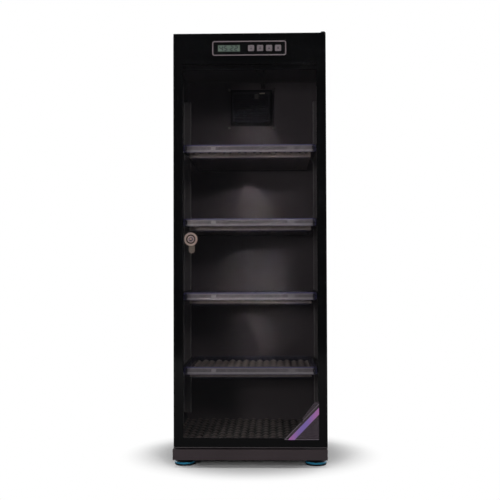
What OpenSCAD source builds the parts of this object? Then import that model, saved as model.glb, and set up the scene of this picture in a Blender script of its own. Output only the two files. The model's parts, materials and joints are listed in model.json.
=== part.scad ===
// Glass-door dry cabinet for cameras and lenses: a sheet-steel body on a plinth with four
// levelling feet, a glass door hung on pins at the right, pull-out trays with egg-crate foam,
// a humidity control panel in the door and a drying unit on the back wall.
// Millimetres, +Z up, the door faces -Y, the origin is under the middle of the cabinet.

/* [Cabinet] */
// Overall width of the body
cabinet_w = 400; // [380:5:460]
// Depth from the front of the door glass to the back panel
cabinet_d = 400; // [390:5:460]
// Height of the top panel above the floor
cabinet_h = 1129; // [1110:1:1250]
// Thickness of the sheet steel
sheet_t = 1.2; // [0.8:0.1:1.6]
// Height of the closed space for the electronics above the ceiling
head_space_h = 48; // [40:1:60]
// Radius of the rear cable gland's bore
gland_bore_r = 4; // [3:0.5:5]
// How far the rear fittings stand out of the back panel
rear_proud = 4; // [3:0.5:6]

/* [Plinth and feet] */
// Height of the plinth
plinth_h = 27.5; // [24:0.5:36]
// Depth of the plinth's front and rear beams
plinth_beam_d = 70; // [60:1:90]
// Width of the plinth's side beams
plinth_side_w = 40; // [30:1:60]
// Wall of the plinth's box beams
plinth_wall = 1.5; // [1:0.1:2.5]
// Height of the plinth above the floor
foot_h = 20.5; // [18:0.5:26]
// Radius of a foot over its coloured ring
foot_r = 27.3; // [24:0.1:28]
// Height of the coloured ring round each foot
foot_ring_h = 5; // [3:0.5:7]
// Radius of a foot's threaded stud
stud_r = 5; // [4:0.5:6]
// Distance from the plinth's side to a foot's axis
foot_side_in = 27.5; // [27.5:0.5:34]

/* [Face frame] */
// Width of the side uprights of the face frame, from the body's side
face_stile_w = 22; // [21.5:0.1:24]
// Height of the header, from the body's top
face_header_h = 91; // [84:1:96]
// Height of the sill above the body's underside
face_sill_h = 21; // [19:1:24]
// Depth of the folded edge round the opening
face_return_d = 12; // [8:1:14]

/* [Door] */
// Thickness of the glass
glass_t = 4; // [3:0.5:5]
// Thickness of the frame behind the glass
frame_t = 16; // [15:0.5:18]
// Width of the door frame's side members
door_stile_w = 20; // [19:0.5:21]
// Height of the door frame's top member
door_rail_h = 79; // [74:1:84]
// Height of the door frame's bottom member
door_foot_rail_h = 21; // [18:1:24]
// Wall of the door frame's members
frame_wall = 1.5; // [1:0.1:2.5]
// Length of the solid ends of the top and bottom members
rail_end_l = 24; // [20:1:30]
// Gap between the plinth and the door
door_gap_low = 6; // [5:0.5:9]
// Gap between the door and the top hinge plate
door_gap_high = 1; // [0.5:0.1:2]
// How far the door stays short of the body's free side
door_reveal = 3; // [1:0.5:5]
// Thickness of the door seal
seal_t = 3.7; // [3:0.1:5]
// Width of the door seal
seal_w = 9; // [6:0.5:9]
// Distance from the body's side to the seal
seal_edge = 10.5; // [10:0.1:11.5]

/* [Hinge] */
// Distance from the body's side to the hinge pins' axis
hinge_edge = 6.5; // [6.5:0.1:8.5]
// Radius of the hinge pins
pin_r = 3; // [2.5:0.1:3.5]
// Length of the pins inside the door
pin_l = 15; // [10:1:16]
// Running clearance round the pins and the lock core
running_gap = 0.05; // [0.02:0.01:0.1]
// Thickness of the hinge plates
hinge_plate_t = 3; // [2:0.1:3.5]
// Width of the hinge plates
hinge_plate_w = 12; // [12:0.5:13]
// Length of the hinge plates from the pin
hinge_plate_l = 50; // [46:1:56]

/* [Control panel] */
// Width of the panel over its bright frame
panel_w = 193; // [186:1:205]
// Height of the panel over its bright frame
panel_h = 38.7; // [36:0.1:42]
// Width of the bright frame's line
panel_line = 3; // [2:0.1:4]
// Height of the panel's centre above the underside of the door frame's top member
panel_up = 39.5; // [38:0.5:44]
// Shift of the panel's centre from the middle of the cabinet
panel_shift = 1; // [-6:0.5:4]
// How far the bright frame stands out of the glass
panel_proud = 1.2; // [0.8:0.1:2]
// Width of the display
lcd_w = 58.6; // [50:0.2:62]
// Height of the display
lcd_h = 18; // [14:0.5:20]
// Side of a square button
button_s = 16; // [13:0.5:17]
// Spacing of the buttons
button_pitch = 23.4; // [22:0.1:25]
// How far a button stands out of the glass
button_proud = 2; // [1.5:0.1:3]
// Travel of a button
button_travel = 1; // [0.5:0.1:1.2]

/* [Lock] */
// Radius of the lock's bright ring
lock_r = 17.25; // [15:0.25:19]
// How far the ring stands out of the glass
lock_proud = 4; // [3:0.5:6]
// Radius of the lock's barrel
lock_barrel_r = 9; // [8.5:0.25:10]
// Radius of the turning core
lock_core_r = 7; // [5.5:0.25:7.5]
// Distance from the body's free side to the lock's axis
lock_edge = 48; // [46:0.5:50]
// Height of the lock above the body's underside
lock_up = 543; // [500:1:550]
// Reach of the cam from the lock's axis
cam_reach = 36; // [33:0.5:40]
// Width of the cam
cam_w = 15.7; // [12:0.1:18]
// Thickness of the cam
cam_t = 2; // [1.5:0.1:3]

/* [Trays] */
// Gap between a tray's rim and the uprights
tray_side_gap = 3.8; // [2:0.1:8]
// Gap between a tray and the back panel
tray_back_gap = 12.8; // [6:0.1:30]
// Depth of a tray below the top of its lip
tray_h = 33; // [28:1:40]
// Height of a tray's lip above its rim
rim_down = 3; // [0:0.5:5]
// Wall of a tray
tray_wall = 2.5; // [1.5:0.1:3]
// Width of the rim beside the tray's body
rim_w = 10; // [8:0.5:12]
// Depth of the shelf between the lip and the tray's body
shelf_d = 32; // [24:1:40]
// Height of the pull lip
lip_h = 20; // [14:1:24]
// Distance from the front of the glass to the lips
lip_set = 40; // [36:1:44]
// How far the middle of the stack of trays lies below the middle of the inside
tray_down = 15.65; // [0:0.05:40]
// Vertical spacing of the trays
tray_pitch = 195.3; // [180:0.1:200]

/* [Tray supports] */
// Width of the slotted uprights along the cabinet's depth
upright_w = 20; // [16:1:26]
// Depth of the slotted uprights from the side panels
upright_t = 20; // [19:0.5:20.5]
// Distance from the ceiling down to the uprights' upper end
upright_down = 77; // [30:1:90]
// Height of the uprights' lower end above the body's underside
upright_up = 50; // [30:1:60]
// Distance from the front of the glass to the front uprights
upright_front = 60; // [50:1:80]
// Distance from the back panel to the rear uprights
upright_rear = 80; // [60:1:100]
// Thickness of the tray runners
runner_t = 2; // [1.5:0.1:3]
// Height of the runners' web below the top of the tray's lip
runner_drop = 16; // [14:1:20]
// Number of slots from one tray to the next
slots_per_tray = 6; // [3:1:8]

/* [Foam] */
// Distance from a peak of the foam to the next valley
foam_step = 20; // [16:1:30]
// Solid thickness of the foam under its valleys
foam_base = 6; // [4:0.5:8]
// Height of the foam's peaks above its valleys
foam_wave = 12; // [8:0.5:14]
// Clearance round soft pieces
soft_gap = 0.3; // [0.2:0.1:0.6]

/* [Drying unit] */
// Width of the unit's housing
unit_w = 113; // [100:1:125]
// Height of the unit's housing
unit_h = 90.5; // [80:0.5:100]
// Depth of the unit's housing
unit_d = 32; // [26:1:40]
// Wall of the unit's housing
unit_wall = 2.5; // [2:0.1:3.5]
// Number of slots in the unit's grille
louvre_count = 15; // [10:1:18]
// Shift of the unit from the middle of the cabinet
unit_shift = -3; // [-10:1:6]
// Distance from the ceiling down to the unit's centre
unit_below = 80.5; // [74:0.5:90]
// How far the rear cover reaches past each side of the unit
vent_side_over = 20; // [14:0.5:26]
// How far the rear cover reaches past the unit's top and bottom
vent_end_over = 23; // [14:0.5:26]

/* [Hidden] */
$fn = 48;

// Overrun of every cut past the face it opens
cut = 1;
// Gap between a seated rigid piece and its seat
seat_gap = 0.2;
// Gap between the seal or a foot and the face that it meets
touch_gap = 0.3;

// Main planes
half_w = cabinet_w / 2;
total_d = lock_proud + cabinet_d + rear_proud;
front_y = lock_proud - total_d / 2;
back_y = front_y + cabinet_d;
body_z = foot_h + plinth_h;
top_z = cabinet_h;
glass_back_y = front_y + glass_t;
frame_back_y = glass_back_y + frame_t;
face_y = frame_back_y + seal_t + touch_gap;
inner_x = half_w - sheet_t;
floor_z = body_z + sheet_t;
back_in_y = back_y - sheet_t;
ceiling_z = top_z - head_space_h;
header_z = top_z - face_header_h;
sill_z = body_z + face_sill_h;
opening_x = half_w - face_stile_w;

// Door planes
door_z = body_z + door_gap_low;
door_top = top_z - door_gap_high;
door_left = door_reveal - half_w;
door_right = half_w;
rail_top_z = door_top - door_rail_h;
rail_low_top = door_z + door_foot_rail_h;
seal_low_in = 2.4;
ledge_h = 2.4;

// Hinge
hinge_x = half_w - hinge_edge;
hinge_y = (front_y + frame_back_y) / 2;
bush_r = pin_r + hinge_plate_t;
plate_screw_shares = [0.55, 0.85];

// Screws
screw_r = 2;
screw_head_r = 4;
screw_head_h = 2.2;
screw_hole_r = screw_r + running_gap;

// Feet
foot_x = half_w - foot_side_in;
foot_in_share = 0.73;
foot_y = foot_in_share * plinth_beam_d;
foot_base_h = 4.5;
foot_groove = 4.5;
foot_neck_r = 15;
foot_chamfer = 2;
foot_cap_h = 4;
stud_gap = 2.5;
stud_top = body_z - plinth_wall - stud_gap;

// Control panel
panel_x = panel_shift;
panel_z = rail_top_z + panel_up;
panel_corner = 6;
fascia_w = panel_w - 2 * panel_line;
fascia_h = panel_h - 2 * panel_line;
fascia_corner = panel_corner - panel_line;
fascia_set = panel_proud / 2;
housing_w = fascia_w - 2 * panel_line;
housing_h = fascia_h - panel_line;
housing_back_gap = 1;
housing_d = frame_t - frame_wall - housing_back_gap;

// Display and buttons share the fascia: what they leave free goes before, between and after them
button_count = 4;
button_row_w = (button_count - 1) * button_pitch + button_s;
panel_free = fascia_w - lcd_w - button_row_w;
panel_free_shares = [0.27, 0.486];
lcd_x = panel_x - fascia_w / 2 + panel_free_shares[0] * panel_free + lcd_w / 2;
button_x = lcd_x + lcd_w / 2 + panel_free_shares[1] * panel_free + button_s / 2;
button_gap = 0.2;
button_corner = 2.5;
button_flange = 1;
button_stem_r = 2;
button_stem_l = 2;
button_well = button_flange + button_stem_l + button_travel + 2 * button_gap;

// Lock
lock_x = lock_edge - half_w;
lock_z = body_z + lock_up;
lock_hole_gap = 0.5;
lock_hole_r = lock_barrel_r + lock_hole_gap;
lock_nut_wall = 5.4;
lock_nut_r = lock_barrel_r + lock_nut_wall;
lock_nut_t = 5;
lock_edge_cut = 1.2;
cam_gap = 0.8;
cam_y = face_y + sheet_t + cam_gap;
cam_hub_rim = 1;
cam_head_r = 4;
cam_head_h = 2;
key_slot_w = 2.2;
key_slot_h = 9;
key_slot_d = 8;
keeper_half = cam_w / 2 + 2 * cam_t;

// Trays and their supports
tray_count = 4;
upright_x = inner_x - upright_t;
tray_w = 2 * (upright_x - tray_side_gap);
tray_y = front_y + lip_set;
tray_body_w = tray_w - 2 * rim_w;
tray_body_y = tray_y + shelf_d;
tray_back = back_in_y - tray_back_gap;
tray_mid_z = (floor_z + ceiling_z) / 2 - tray_down;
lip_t = 3;
lip_corner = 5;
upright_ys = [front_y + upright_front, back_y - upright_rear - upright_w];
runner_gap = 1.5;
runner_in = tray_body_w / 2 + runner_gap;
runner_out = upright_x;
runner_over = 6;
runner_y0 = upright_ys[0] - runner_over;
runner_y1 = upright_ys[1] + upright_w + runner_over;
slot_pitch = tray_pitch / slots_per_tray;
slot_h = 12;
slot_w = 4;
slot_drop = 7;
hook_gap = 0.4;
hook_l = 3;
upright_z0 = body_z + upright_up;
upright_z1 = ceiling_z - upright_down;

// Drying unit and rear cover
unit_x = unit_shift;
unit_z = ceiling_z - unit_below;
unit_front_y = back_in_y - unit_d;
grille_t = 4;
grille_w = unit_w - 2 * unit_wall;
grille_h = unit_h - 2 * unit_wall;
grille_edge = 5;
flange_t = 3;
flange_r = 4;
flange_side_over = 6.5;
flange_low_over = 7;
flange_high_over = 12.5;
louvre_pitch = (grille_h - 2 * grille_edge) / louvre_count;
louvre_open_share = 0.5;
unit_hole_share = 0.7;
vent_w = unit_w + 2 * vent_side_over;
vent_h = unit_h + 2 * vent_end_over;
vent_screw_share = 0.55;
vent_screw_x = unit_w / 2 + vent_screw_share * vent_side_over;
vent_screw_z = unit_h / 2 + vent_screw_share * vent_end_over;
vent_slots = 9;
vent_slot_h = 3;
vent_edge = 22;
sensor_w = 12;
sensor_h = 14;
sensor_t = 4;
sensor_in = 38;
indicator_w = 16.5;
indicator_h = 4;
indicator_t = 1.5;
indicator_in = 20.8;

// Cable gland
gland_side_in = 80;
gland_x = gland_side_in - half_w;
gland_z = (ceiling_z + top_z) / 2;
gland_barrel_r = gland_bore_r + 2.5;
gland_flange_r = gland_bore_r + 6;
gland_in_l = 12;

// Label on the glass: a corner film with one step in its slanted edge
label_t = 0.25;
label_right_in = 22;
label_low_in = 2;
label_x1 = door_right - label_right_in;
label_z0 = rail_low_top - label_low_in;
label_w = 89;
label_h = 97;
label_step_share = 0.46;
label_step = 6;
label_tip = 11;

// The two unit cables, held from the ceiling to the top of the unit. Each is given by its hole's place
// from the unit's middle and from the front of the glass, and by where it ends on the unit.
cable_r = 2;
cable_hole_gap = 0.5;
cable_sides = 8;
cable_holes = [[19, 205], [39, 215]];
cable_ends = [32, 38.5];
cable_end_in = 14.8;
// How far along its way from the hole to the unit, and from the ceiling to the unit's top, each point lies
cable_way_shares = [0, 0, 0.04, 0.2, 0.48, 0.75, 0.9, 0.97, 0.995, 1];
cable_drop_shares = [-0.2, 0.07, 0.21, 0.25, 0.25, 0.28, 0.35, 0.5, 0.74, 1];
function cable_route(k) =
    let (from = [unit_x + cable_holes[k][0], front_y + cable_holes[k][1]],
         to = [unit_x + cable_ends[k], back_in_y - cable_end_in],
         drop = ceiling_z - unit_z - unit_h / 2)
    [for (i = [0:len(cable_way_shares) - 1])
        let (place = from + cable_way_shares[i] * (to - from))
        [place[0], place[1], ceiling_z - cable_drop_shares[i] * drop]];

// Helpers

// A box between two corners, given as ranges along each axis
module block(x, y, z) {
    translate([x[0], y[0], z[0]]) cube([x[1] - x[0], y[1] - y[0], z[1] - z[0]]);
}

// A rectangle with round corners, centred
module round_rect(w, h, r) {
    square([w, h - 2 * r], center = true);
    square([w - 2 * r, h], center = true);
    for (sx = [-1, 1], sy = [-1, 1]) {
        translate([sx * (w / 2 - r), sy * (h / 2 - r)]) circle(r = r);
    }
}

// An upright slab with round corners, centred in X and Z, from y0 to y1
module slab(w, h, r, y0, y1) {
    translate([0, y1, 0]) rotate([90, 0, 0]) linear_extrude(height = y1 - y0) round_rect(w, h, r);
}

// A rod along +Y from y0 to y1
module rod_y(r, y0, y1) {
    translate([0, y0, 0]) rotate([-90, 0, 0]) cylinder(r = r, h = y1 - y0);
}

// A screw with a round head, its head's underside at the origin and its shank along -Z
module pan_screw(shank_l) {
    cylinder(r = screw_head_r, h = screw_head_h);
    translate([0, 0, -shank_l]) cylinder(r = screw_r, h = shank_l + cut);
}

// The height of the top of a tray's lip; tray 1 is the top one
function tray_top(k) = tray_mid_z + ((tray_count + 1) / 2 - k) * tray_pitch;

// Foam with alternating peaks and valleys on a square grid, its corner at the origin
module egg_crate(w, l) {
    nx = max(2, round(w / foam_step));
    ny = max(2, round(l / foam_step));
    dx = w / nx;
    dy = l / ny;
    mid = foam_base + foam_wave / 2;
    grid = [for (j = [0:ny]) for (i = [0:nx])
        [i * dx, j * dy, mid + (((i + j) % 2 == 0) ? foam_wave / 2 : -foam_wave / 2)]];
    mids = [for (j = [0:ny - 1]) for (i = [0:nx - 1]) [(i + 0.5) * dx, (j + 0.5) * dy, mid]];
    rim = concat(
        [for (i = [0:nx - 1]) i],
        [for (j = [0:ny - 1]) j * (nx + 1) + nx],
        [for (i = [nx:-1:1]) ny * (nx + 1) + i],
        [for (j = [ny:-1:1]) j * (nx + 1)]);
    n = len(rim);
    base = [for (k = rim) [grid[k][0], grid[k][1], 0]];
    m0 = len(grid);
    b0 = m0 + len(mids);
    c0 = b0 + n;
    top_faces = [for (j = [0:ny - 1]) for (i = [0:nx - 1])
        let (a = j * (nx + 1) + i, b = a + 1, d = a + nx + 1, c = d + 1, m = m0 + j * nx + i)
        each [[a, m, b], [b, m, c], [c, m, d], [d, m, a]]];
    side_faces = [for (k = [0:n - 1]) let (q = (k + 1) % n)
        each [[rim[k], rim[q], b0 + k], [rim[q], b0 + q, b0 + k], [c0, b0 + k, b0 + q]]];
    polyhedron(
        points = concat(grid, mids, base, [[w / 2, l / 2, 0]]),
        faces = concat(top_faces, side_faces),
        convexity = 10);
}

// A round tube swept along a list of points
function unit_of(v) = v / norm(v);
module sweep(route, r, sides) {
    last = len(route) - 1;
    rings = [for (i = [0:last])
        let (t = unit_of(route[min(i + 1, last)] - route[max(i - 1, 0)]),
             u = unit_of(cross(t, [1, 0.01, 0])),
             v = cross(u, t))
        [for (s = [0:sides - 1]) route[i] + r * (cos(360 * s / sides) * u + sin(360 * s / sides) * v)]];
    side_faces = [for (i = [0:last - 1]) for (s = [0:sides - 1])
        let (q = (s + 1) % sides, a = i * sides, b = a + sides)
        each [[a + s, a + q, b + s], [a + q, b + q, b + s]]];
    polyhedron(
        points = [for (ring = rings) each ring],
        faces = concat(side_faces,
            [[for (s = [sides - 1:-1:0]) s]],
            [[for (s = [0:sides - 1]) last * sides + s]]),
        convexity = 4);
}

// Plinth

// A front or rear box beam, with a hole in its floor for each foot's stud
module plinth_beam(y0, y1, stud_y) {
    difference() {
        block([-half_w, half_w], [y0, y1], [foot_h, body_z]);
        block([-half_w + plinth_wall, half_w - plinth_wall],
              [y0 + plinth_wall, y1 - plinth_wall],
              [foot_h + plinth_wall, body_z - plinth_wall]);
        for (sx = [-1, 1]) {
            translate([sx * foot_x, stud_y, foot_h - cut])
                cylinder(r = stud_r + running_gap, h = plinth_wall + 2 * cut);
        }
        children();
    }
}

module plinth_front() {
    color([0.22, 0.21, 0.21])
    plinth_beam(front_y, front_y + plinth_beam_d, front_y + foot_y) {
        for (share = plate_screw_shares) {
            translate([hinge_x - share * hinge_plate_l, hinge_y, body_z - plinth_wall - cut])
                cylinder(r = screw_hole_r, h = plinth_wall + 2 * cut);
        }
    }
}

module plinth_rear() {
    color([0.2, 0.19, 0.19])
    plinth_beam(back_y - plinth_beam_d, back_y, back_y - foot_y);
}

module plinth_sides() {
    color([0.2, 0.19, 0.19])
    for (side = [-1, 1]) {
        outer = side * half_w;
        inner = side * (half_w - plinth_side_w);
        wall = plinth_wall;
        difference() {
            block([min(outer, inner), max(outer, inner)],
                  [front_y + plinth_beam_d, back_y - plinth_beam_d],
                  [foot_h, body_z]);
            block([min(outer, inner) + wall, max(outer, inner) - wall],
                  [front_y + plinth_beam_d - cut, back_y - plinth_beam_d + cut],
                  [foot_h + wall, body_z - wall]);
        }
    }
}

// Levelling feet

module foot(sx, rear) {
    stud_y = rear ? back_y - foot_y : front_y + foot_y;
    base_r = foot_r - foot_chamfer / 4;
    seat_r = foot_r - foot_groove;
    ring_top = foot_base_h + foot_ring_h;
    cap_r = foot_r - foot_chamfer;
    color([0.05, 0.05, 0.06])
    translate([sx * foot_x, stud_y, 0])
    rotate_extrude()
    polygon([
        [0, 0], [base_r - foot_chamfer, 0], [base_r, foot_chamfer], [base_r, foot_base_h],
        [seat_r, foot_base_h], [seat_r, ring_top], [cap_r, ring_top],
        [cap_r - foot_chamfer, ring_top + foot_cap_h], [foot_neck_r, ring_top + foot_cap_h],
        [foot_neck_r, foot_h - touch_gap], [stud_r, foot_h - touch_gap],
        [stud_r, stud_top], [0, stud_top]]);
}

module foot_ring(sx, rear) {
    stud_y = rear ? back_y - foot_y : front_y + foot_y;
    ring_r = foot_r - foot_groove + running_gap;
    edge = foot_groove / 4;
    color([0.22, 0.57, 0.71])
    translate([sx * foot_x, stud_y, foot_base_h])
    rotate_extrude()
    polygon([
        [ring_r, 0], [foot_r - edge, 0], [foot_r, edge], [foot_r, foot_ring_h - edge],
        [foot_r - edge, foot_ring_h], [ring_r, foot_ring_h]]);
}

// Body

module side_panel(side) {
    outer = side * half_w;
    inner = side * inner_x;
    color([0.05, 0.05, 0.055])
    block([min(outer, inner), max(outer, inner)], [face_y, back_y], [body_z, top_z]);
}

module top_panel() {
    color([0.05, 0.05, 0.055])
    difference() {
        block([-inner_x, inner_x], [face_y, back_in_y], [top_z - sheet_t, top_z]);
        for (share = plate_screw_shares) {
            translate([hinge_x, hinge_y + share * hinge_plate_l, top_z - sheet_t - cut])
                cylinder(r = screw_hole_r, h = sheet_t + 2 * cut);
        }
    }
}

module back_panel() {
    color([0.16, 0.15, 0.15])
    difference() {
        block([-inner_x, inner_x], [back_in_y, back_y], [body_z, top_z]);
        block([unit_x - unit_hole_share * unit_w / 2, unit_x + unit_hole_share * unit_w / 2],
              [back_in_y - cut, back_y + cut],
              [unit_z - unit_hole_share * unit_h / 2, unit_z + unit_hole_share * unit_h / 2]);
        unit_screw_places() rod_y(screw_hole_r, back_in_y - cut, back_y + cut);
        translate([gland_x, 0, gland_z]) rod_y(gland_barrel_r + running_gap, back_in_y - cut, back_y + cut);
    }
}

module floor_panel() {
    color([0.1, 0.1, 0.1])
    block([-inner_x, inner_x], [face_y, back_in_y], [body_z, floor_z]);
}

module ceiling_panel() {
    color([0.12, 0.12, 0.12])
    difference() {
        block([-inner_x, inner_x], [face_y + face_return_d, back_in_y], [ceiling_z, ceiling_z + sheet_t]);
        for (hole = cable_holes) {
            translate([unit_x + hole[0], front_y + hole[1], ceiling_z - cut])
                cylinder(r = cable_r + cable_hole_gap, h = sheet_t + 2 * cut);
        }
    }
}

// A side of the face frame: a flat web with an edge folded back round the opening
module face_stile(side) {
    web = [[inner_x, face_y], [inner_x, face_y + sheet_t], [opening_x + sheet_t, face_y + sheet_t],
           [opening_x + sheet_t, face_y + face_return_d], [opening_x, face_y + face_return_d],
           [opening_x, face_y]];
    color([0.06, 0.06, 0.065])
    difference() {
        translate([0, 0, floor_z]) linear_extrude(height = top_z - sheet_t - floor_z)
            scale([side, 1]) polygon(web);
        if (side < 0) {
            block([-opening_x - sheet_t - cut, -opening_x + cut],
                  [face_y + sheet_t, face_y + face_return_d + cut],
                  [lock_z - cam_reach, lock_z + keeper_half]);
        }
    }
}

module face_header() {
    color([0.06, 0.06, 0.065]) {
        block([-opening_x, opening_x], [face_y, face_y + sheet_t], [header_z, top_z - sheet_t]);
        block([-opening_x, opening_x], [face_y, face_y + face_return_d], [header_z, header_z + sheet_t]);
    }
}

module face_sill() {
    color([0.06, 0.06, 0.065]) {
        block([-opening_x, opening_x], [face_y, face_y + sheet_t], [floor_z, sill_z]);
        block([-opening_x, opening_x], [face_y, face_y + face_return_d], [sill_z - sheet_t, sill_z]);
    }
}

// Hinge plates with their pins: the top one runs back over the body, the bottom one along the plinth

// A plate with a round nose at the pin, its underside at z = 0
module hinge_plate() {
    difference() {
        union() {
            cylinder(r = hinge_plate_w / 2, h = hinge_plate_t);
            block([-hinge_plate_w / 2, hinge_plate_w / 2], [0, hinge_plate_l], [0, hinge_plate_t]);
        }
        for (share = plate_screw_shares) {
            translate([0, share * hinge_plate_l, -cut])
                cylinder(r = screw_hole_r, h = hinge_plate_t + 2 * cut);
        }
    }
}

module hinge_brackets() {
    bush_h = door_gap_low - hinge_plate_t - seat_gap;
    color([0.12, 0.12, 0.13]) {
        translate([hinge_x, hinge_y, top_z]) {
            hinge_plate();
            translate([0, 0, -door_gap_high - pin_l]) cylinder(r = pin_r, h = door_gap_high + pin_l + cut);
        }
        translate([hinge_x, hinge_y, body_z]) {
            rotate([0, 0, 90]) hinge_plate();
            translate([0, 0, hinge_plate_t]) cylinder(r = bush_r, h = bush_h);
            translate([0, 0, hinge_plate_t]) cylinder(r = pin_r, h = bush_h + seat_gap + pin_l);
        }
    }
}

module unit_screw_places() {
    for (sx = [-1, 1], sz = [-1, 1]) {
        translate([unit_x + sx * vent_screw_x, 0, unit_z + sz * vent_screw_z]) children();
    }
}

module screws() {
    color([0.6, 0.6, 0.6]) {
        for (share = plate_screw_shares) {
            reach = share * hinge_plate_l;
            translate([hinge_x, hinge_y + reach, top_z + hinge_plate_t])
                pan_screw(hinge_plate_t + sheet_t);
            translate([hinge_x - reach, hinge_y, body_z + hinge_plate_t])
                pan_screw(hinge_plate_t + plinth_wall);
        }
        unit_screw_places()
            translate([0, back_in_y, 0]) rotate([90, 0, 0]) pan_screw(sheet_t + rear_proud / 2);
    }
}

// Tray supports

// The height of the slot row that the runner of the lowest tray hooks into
slot_z0 = tray_top(tray_count) - slot_drop;
slot_first = ceil((upright_z0 + slot_h - slot_z0) / slot_pitch);
slot_last = floor((upright_z1 - slot_h - slot_z0) / slot_pitch);

module upright(side, y0) {
    scale([side, 1, 1])
    difference() {
        block([upright_x, inner_x], [y0, y0 + upright_w], [upright_z0, upright_z1]);
        block([upright_x + sheet_t, inner_x + cut], [y0 + sheet_t, y0 + upright_w - sheet_t],
              [upright_z0 - cut, upright_z1 + cut]);
        for (k = [slot_first:slot_last]) {
            slot_z = slot_z0 + k * slot_pitch;
            block([upright_x - cut, upright_x + sheet_t + cut],
                  [y0 + upright_w / 2 - slot_w / 2, y0 + upright_w / 2 + slot_w / 2],
                  [slot_z - slot_h / 2, slot_z + slot_h / 2]);
        }
    }
}

module uprights() {
    color([0.3, 0.29, 0.29])
    for (side = [-1, 1], y0 = upright_ys) upright(side, y0);
}

// An angle runner for one side of one tray, with a hook in each upright
module runner(side, k) {
    ledge_top = tray_top(k) - rim_down - tray_wall - seat_gap;
    hook_z = tray_top(k) - slot_drop;
    scale([side, 1, 1]) {
        block([runner_in, runner_out], [runner_y0, runner_y1], [ledge_top - runner_t, ledge_top]);
        block([runner_out - runner_t, runner_out], [runner_y0, runner_y1],
              [tray_top(k) - runner_drop, tray_top(k) + runner_t]);
        for (y0 = upright_ys) {
            block([runner_out - cut, runner_out + hook_l],
                  [y0 + upright_w / 2 - slot_w / 2 + hook_gap, y0 + upright_w / 2 + slot_w / 2 - hook_gap],
                  [hook_z - slot_h / 2 + hook_gap, hook_z + slot_h / 2 - hook_gap]);
        }
    }
}

module runners() {
    color([0.05, 0.05, 0.05])
    for (side = [-1, 1], k = [1:tray_count]) runner(side, k);
}

module floor_mat() {
    mat_y = face_y + face_return_d + soft_gap;
    color([0.25, 0.23, 0.22])
    translate([-inner_x + soft_gap, mat_y, floor_z + seat_gap])
    egg_crate(2 * inner_x - 2 * soft_gap, back_in_y - soft_gap - mat_y);
}

// Drying unit

// An open box with a flange against the wall
module unit_housing() {
    color([0.07, 0.07, 0.075])
    difference() {
        union() {
            block([unit_x - unit_w / 2, unit_x + unit_w / 2], [unit_front_y, back_in_y],
                  [unit_z - unit_h / 2, unit_z + unit_h / 2]);
            translate([unit_x, 0, unit_z + (flange_high_over - flange_low_over) / 2])
                slab(unit_w + 2 * flange_side_over, unit_h + flange_low_over + flange_high_over, flange_r,
                     back_in_y - flange_t, back_in_y);
        }
        block([unit_x - unit_w / 2 + unit_wall, unit_x + unit_w / 2 - unit_wall],
              [unit_front_y - cut, back_in_y - unit_wall],
              [unit_z - unit_h / 2 + unit_wall, unit_z + unit_h / 2 - unit_wall]);
    }
}

module unit_grille() {
    edge = grille_edge;
    color([0.17, 0.17, 0.18])
    difference() {
        translate([unit_x, 0, unit_z]) {
            slab(unit_w, unit_h, edge / 2, unit_front_y - grille_t / 2, unit_front_y);
            slab(grille_w - 2 * seat_gap, grille_h - 2 * seat_gap, edge / 2,
                 unit_front_y - cut / 2, unit_front_y + grille_t / 2);
        }
        for (k = [0:louvre_count - 1]) {
            louvre_z = unit_z - grille_h / 2 + edge + (k + 1 / 2) * louvre_pitch;
            louvre_half = louvre_open_share * louvre_pitch / 2;
            block([unit_x - grille_w / 2 + edge, unit_x + grille_w / 2 - edge],
                  [unit_front_y - grille_t, unit_front_y + grille_t],
                  [louvre_z - louvre_half, louvre_z + louvre_half]);
        }
    }
}

module unit_indicator() {
    color([0.75, 0.72, 0.68])
    translate([unit_x + grille_w / 2 - indicator_in, 0, unit_z + grille_h / 2 - seat_gap - indicator_h / 2])
        slab(indicator_w, indicator_h, indicator_t / 2,
             unit_front_y - grille_t / 2 - indicator_t, unit_front_y - grille_t / 2);
}

module humidity_sensor() {
    color([0.35, 0.33, 0.33])
    translate([unit_x + grille_w / 2 - sensor_in, 0, unit_z + grille_h / 2 - grille_edge - sensor_h / 2])
        slab(sensor_w, sensor_h, sensor_t / 4,
             unit_front_y - grille_t / 2 - sensor_t, unit_front_y - grille_t / 2);
}

module unit_cables() {
    color([0.03, 0.03, 0.03])
    for (k = [0:len(cable_holes) - 1]) sweep(cable_route(k), cable_r, cable_sides);
}

module cable_gland() {
    color([0.05, 0.05, 0.05])
    translate([gland_x, 0, gland_z])
    difference() {
        union() {
            rod_y(gland_flange_r, back_y, back_y + rear_proud);
            rod_y(gland_barrel_r, back_y - gland_in_l, back_y + cut);
        }
        rod_y(gland_bore_r, back_y - gland_in_l - cut, back_y + rear_proud + cut);
    }
}

module rear_vent_cover() {
    slot_step = (vent_h - 2 * vent_edge) / (vent_slots - 1);
    color([0.05, 0.05, 0.055])
    difference() {
        translate([unit_x, 0, unit_z]) slab(vent_w, vent_h, rear_proud, back_y, back_y + rear_proud);
        for (k = [0:vent_slots - 1]) {
            z0 = unit_z - vent_h / 2 + vent_edge + k * slot_step;
            block([unit_x - vent_w / 2 + vent_edge, unit_x + vent_w / 2 - vent_edge],
                  [back_y - cut, back_y + rear_proud + cut],
                  [z0 - vent_slot_h / 2, z0 + vent_slot_h / 2]);
        }
        unit_screw_places() rod_y(screw_hole_r, back_y - cut, back_y + rear_proud / 2 + seat_gap);
    }
}

// Door

// A side member: an open tube between the top and bottom members
module door_stile(x0) {
    color([0.04, 0.04, 0.045])
    difference() {
        block([x0, x0 + door_stile_w], [glass_back_y, frame_back_y], [rail_low_top, rail_top_z]);
        block([x0 + frame_wall, x0 + door_stile_w - frame_wall],
              [glass_back_y + frame_wall, frame_back_y - frame_wall],
              [rail_low_top - cut, rail_top_z + cut]);
    }
}

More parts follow.
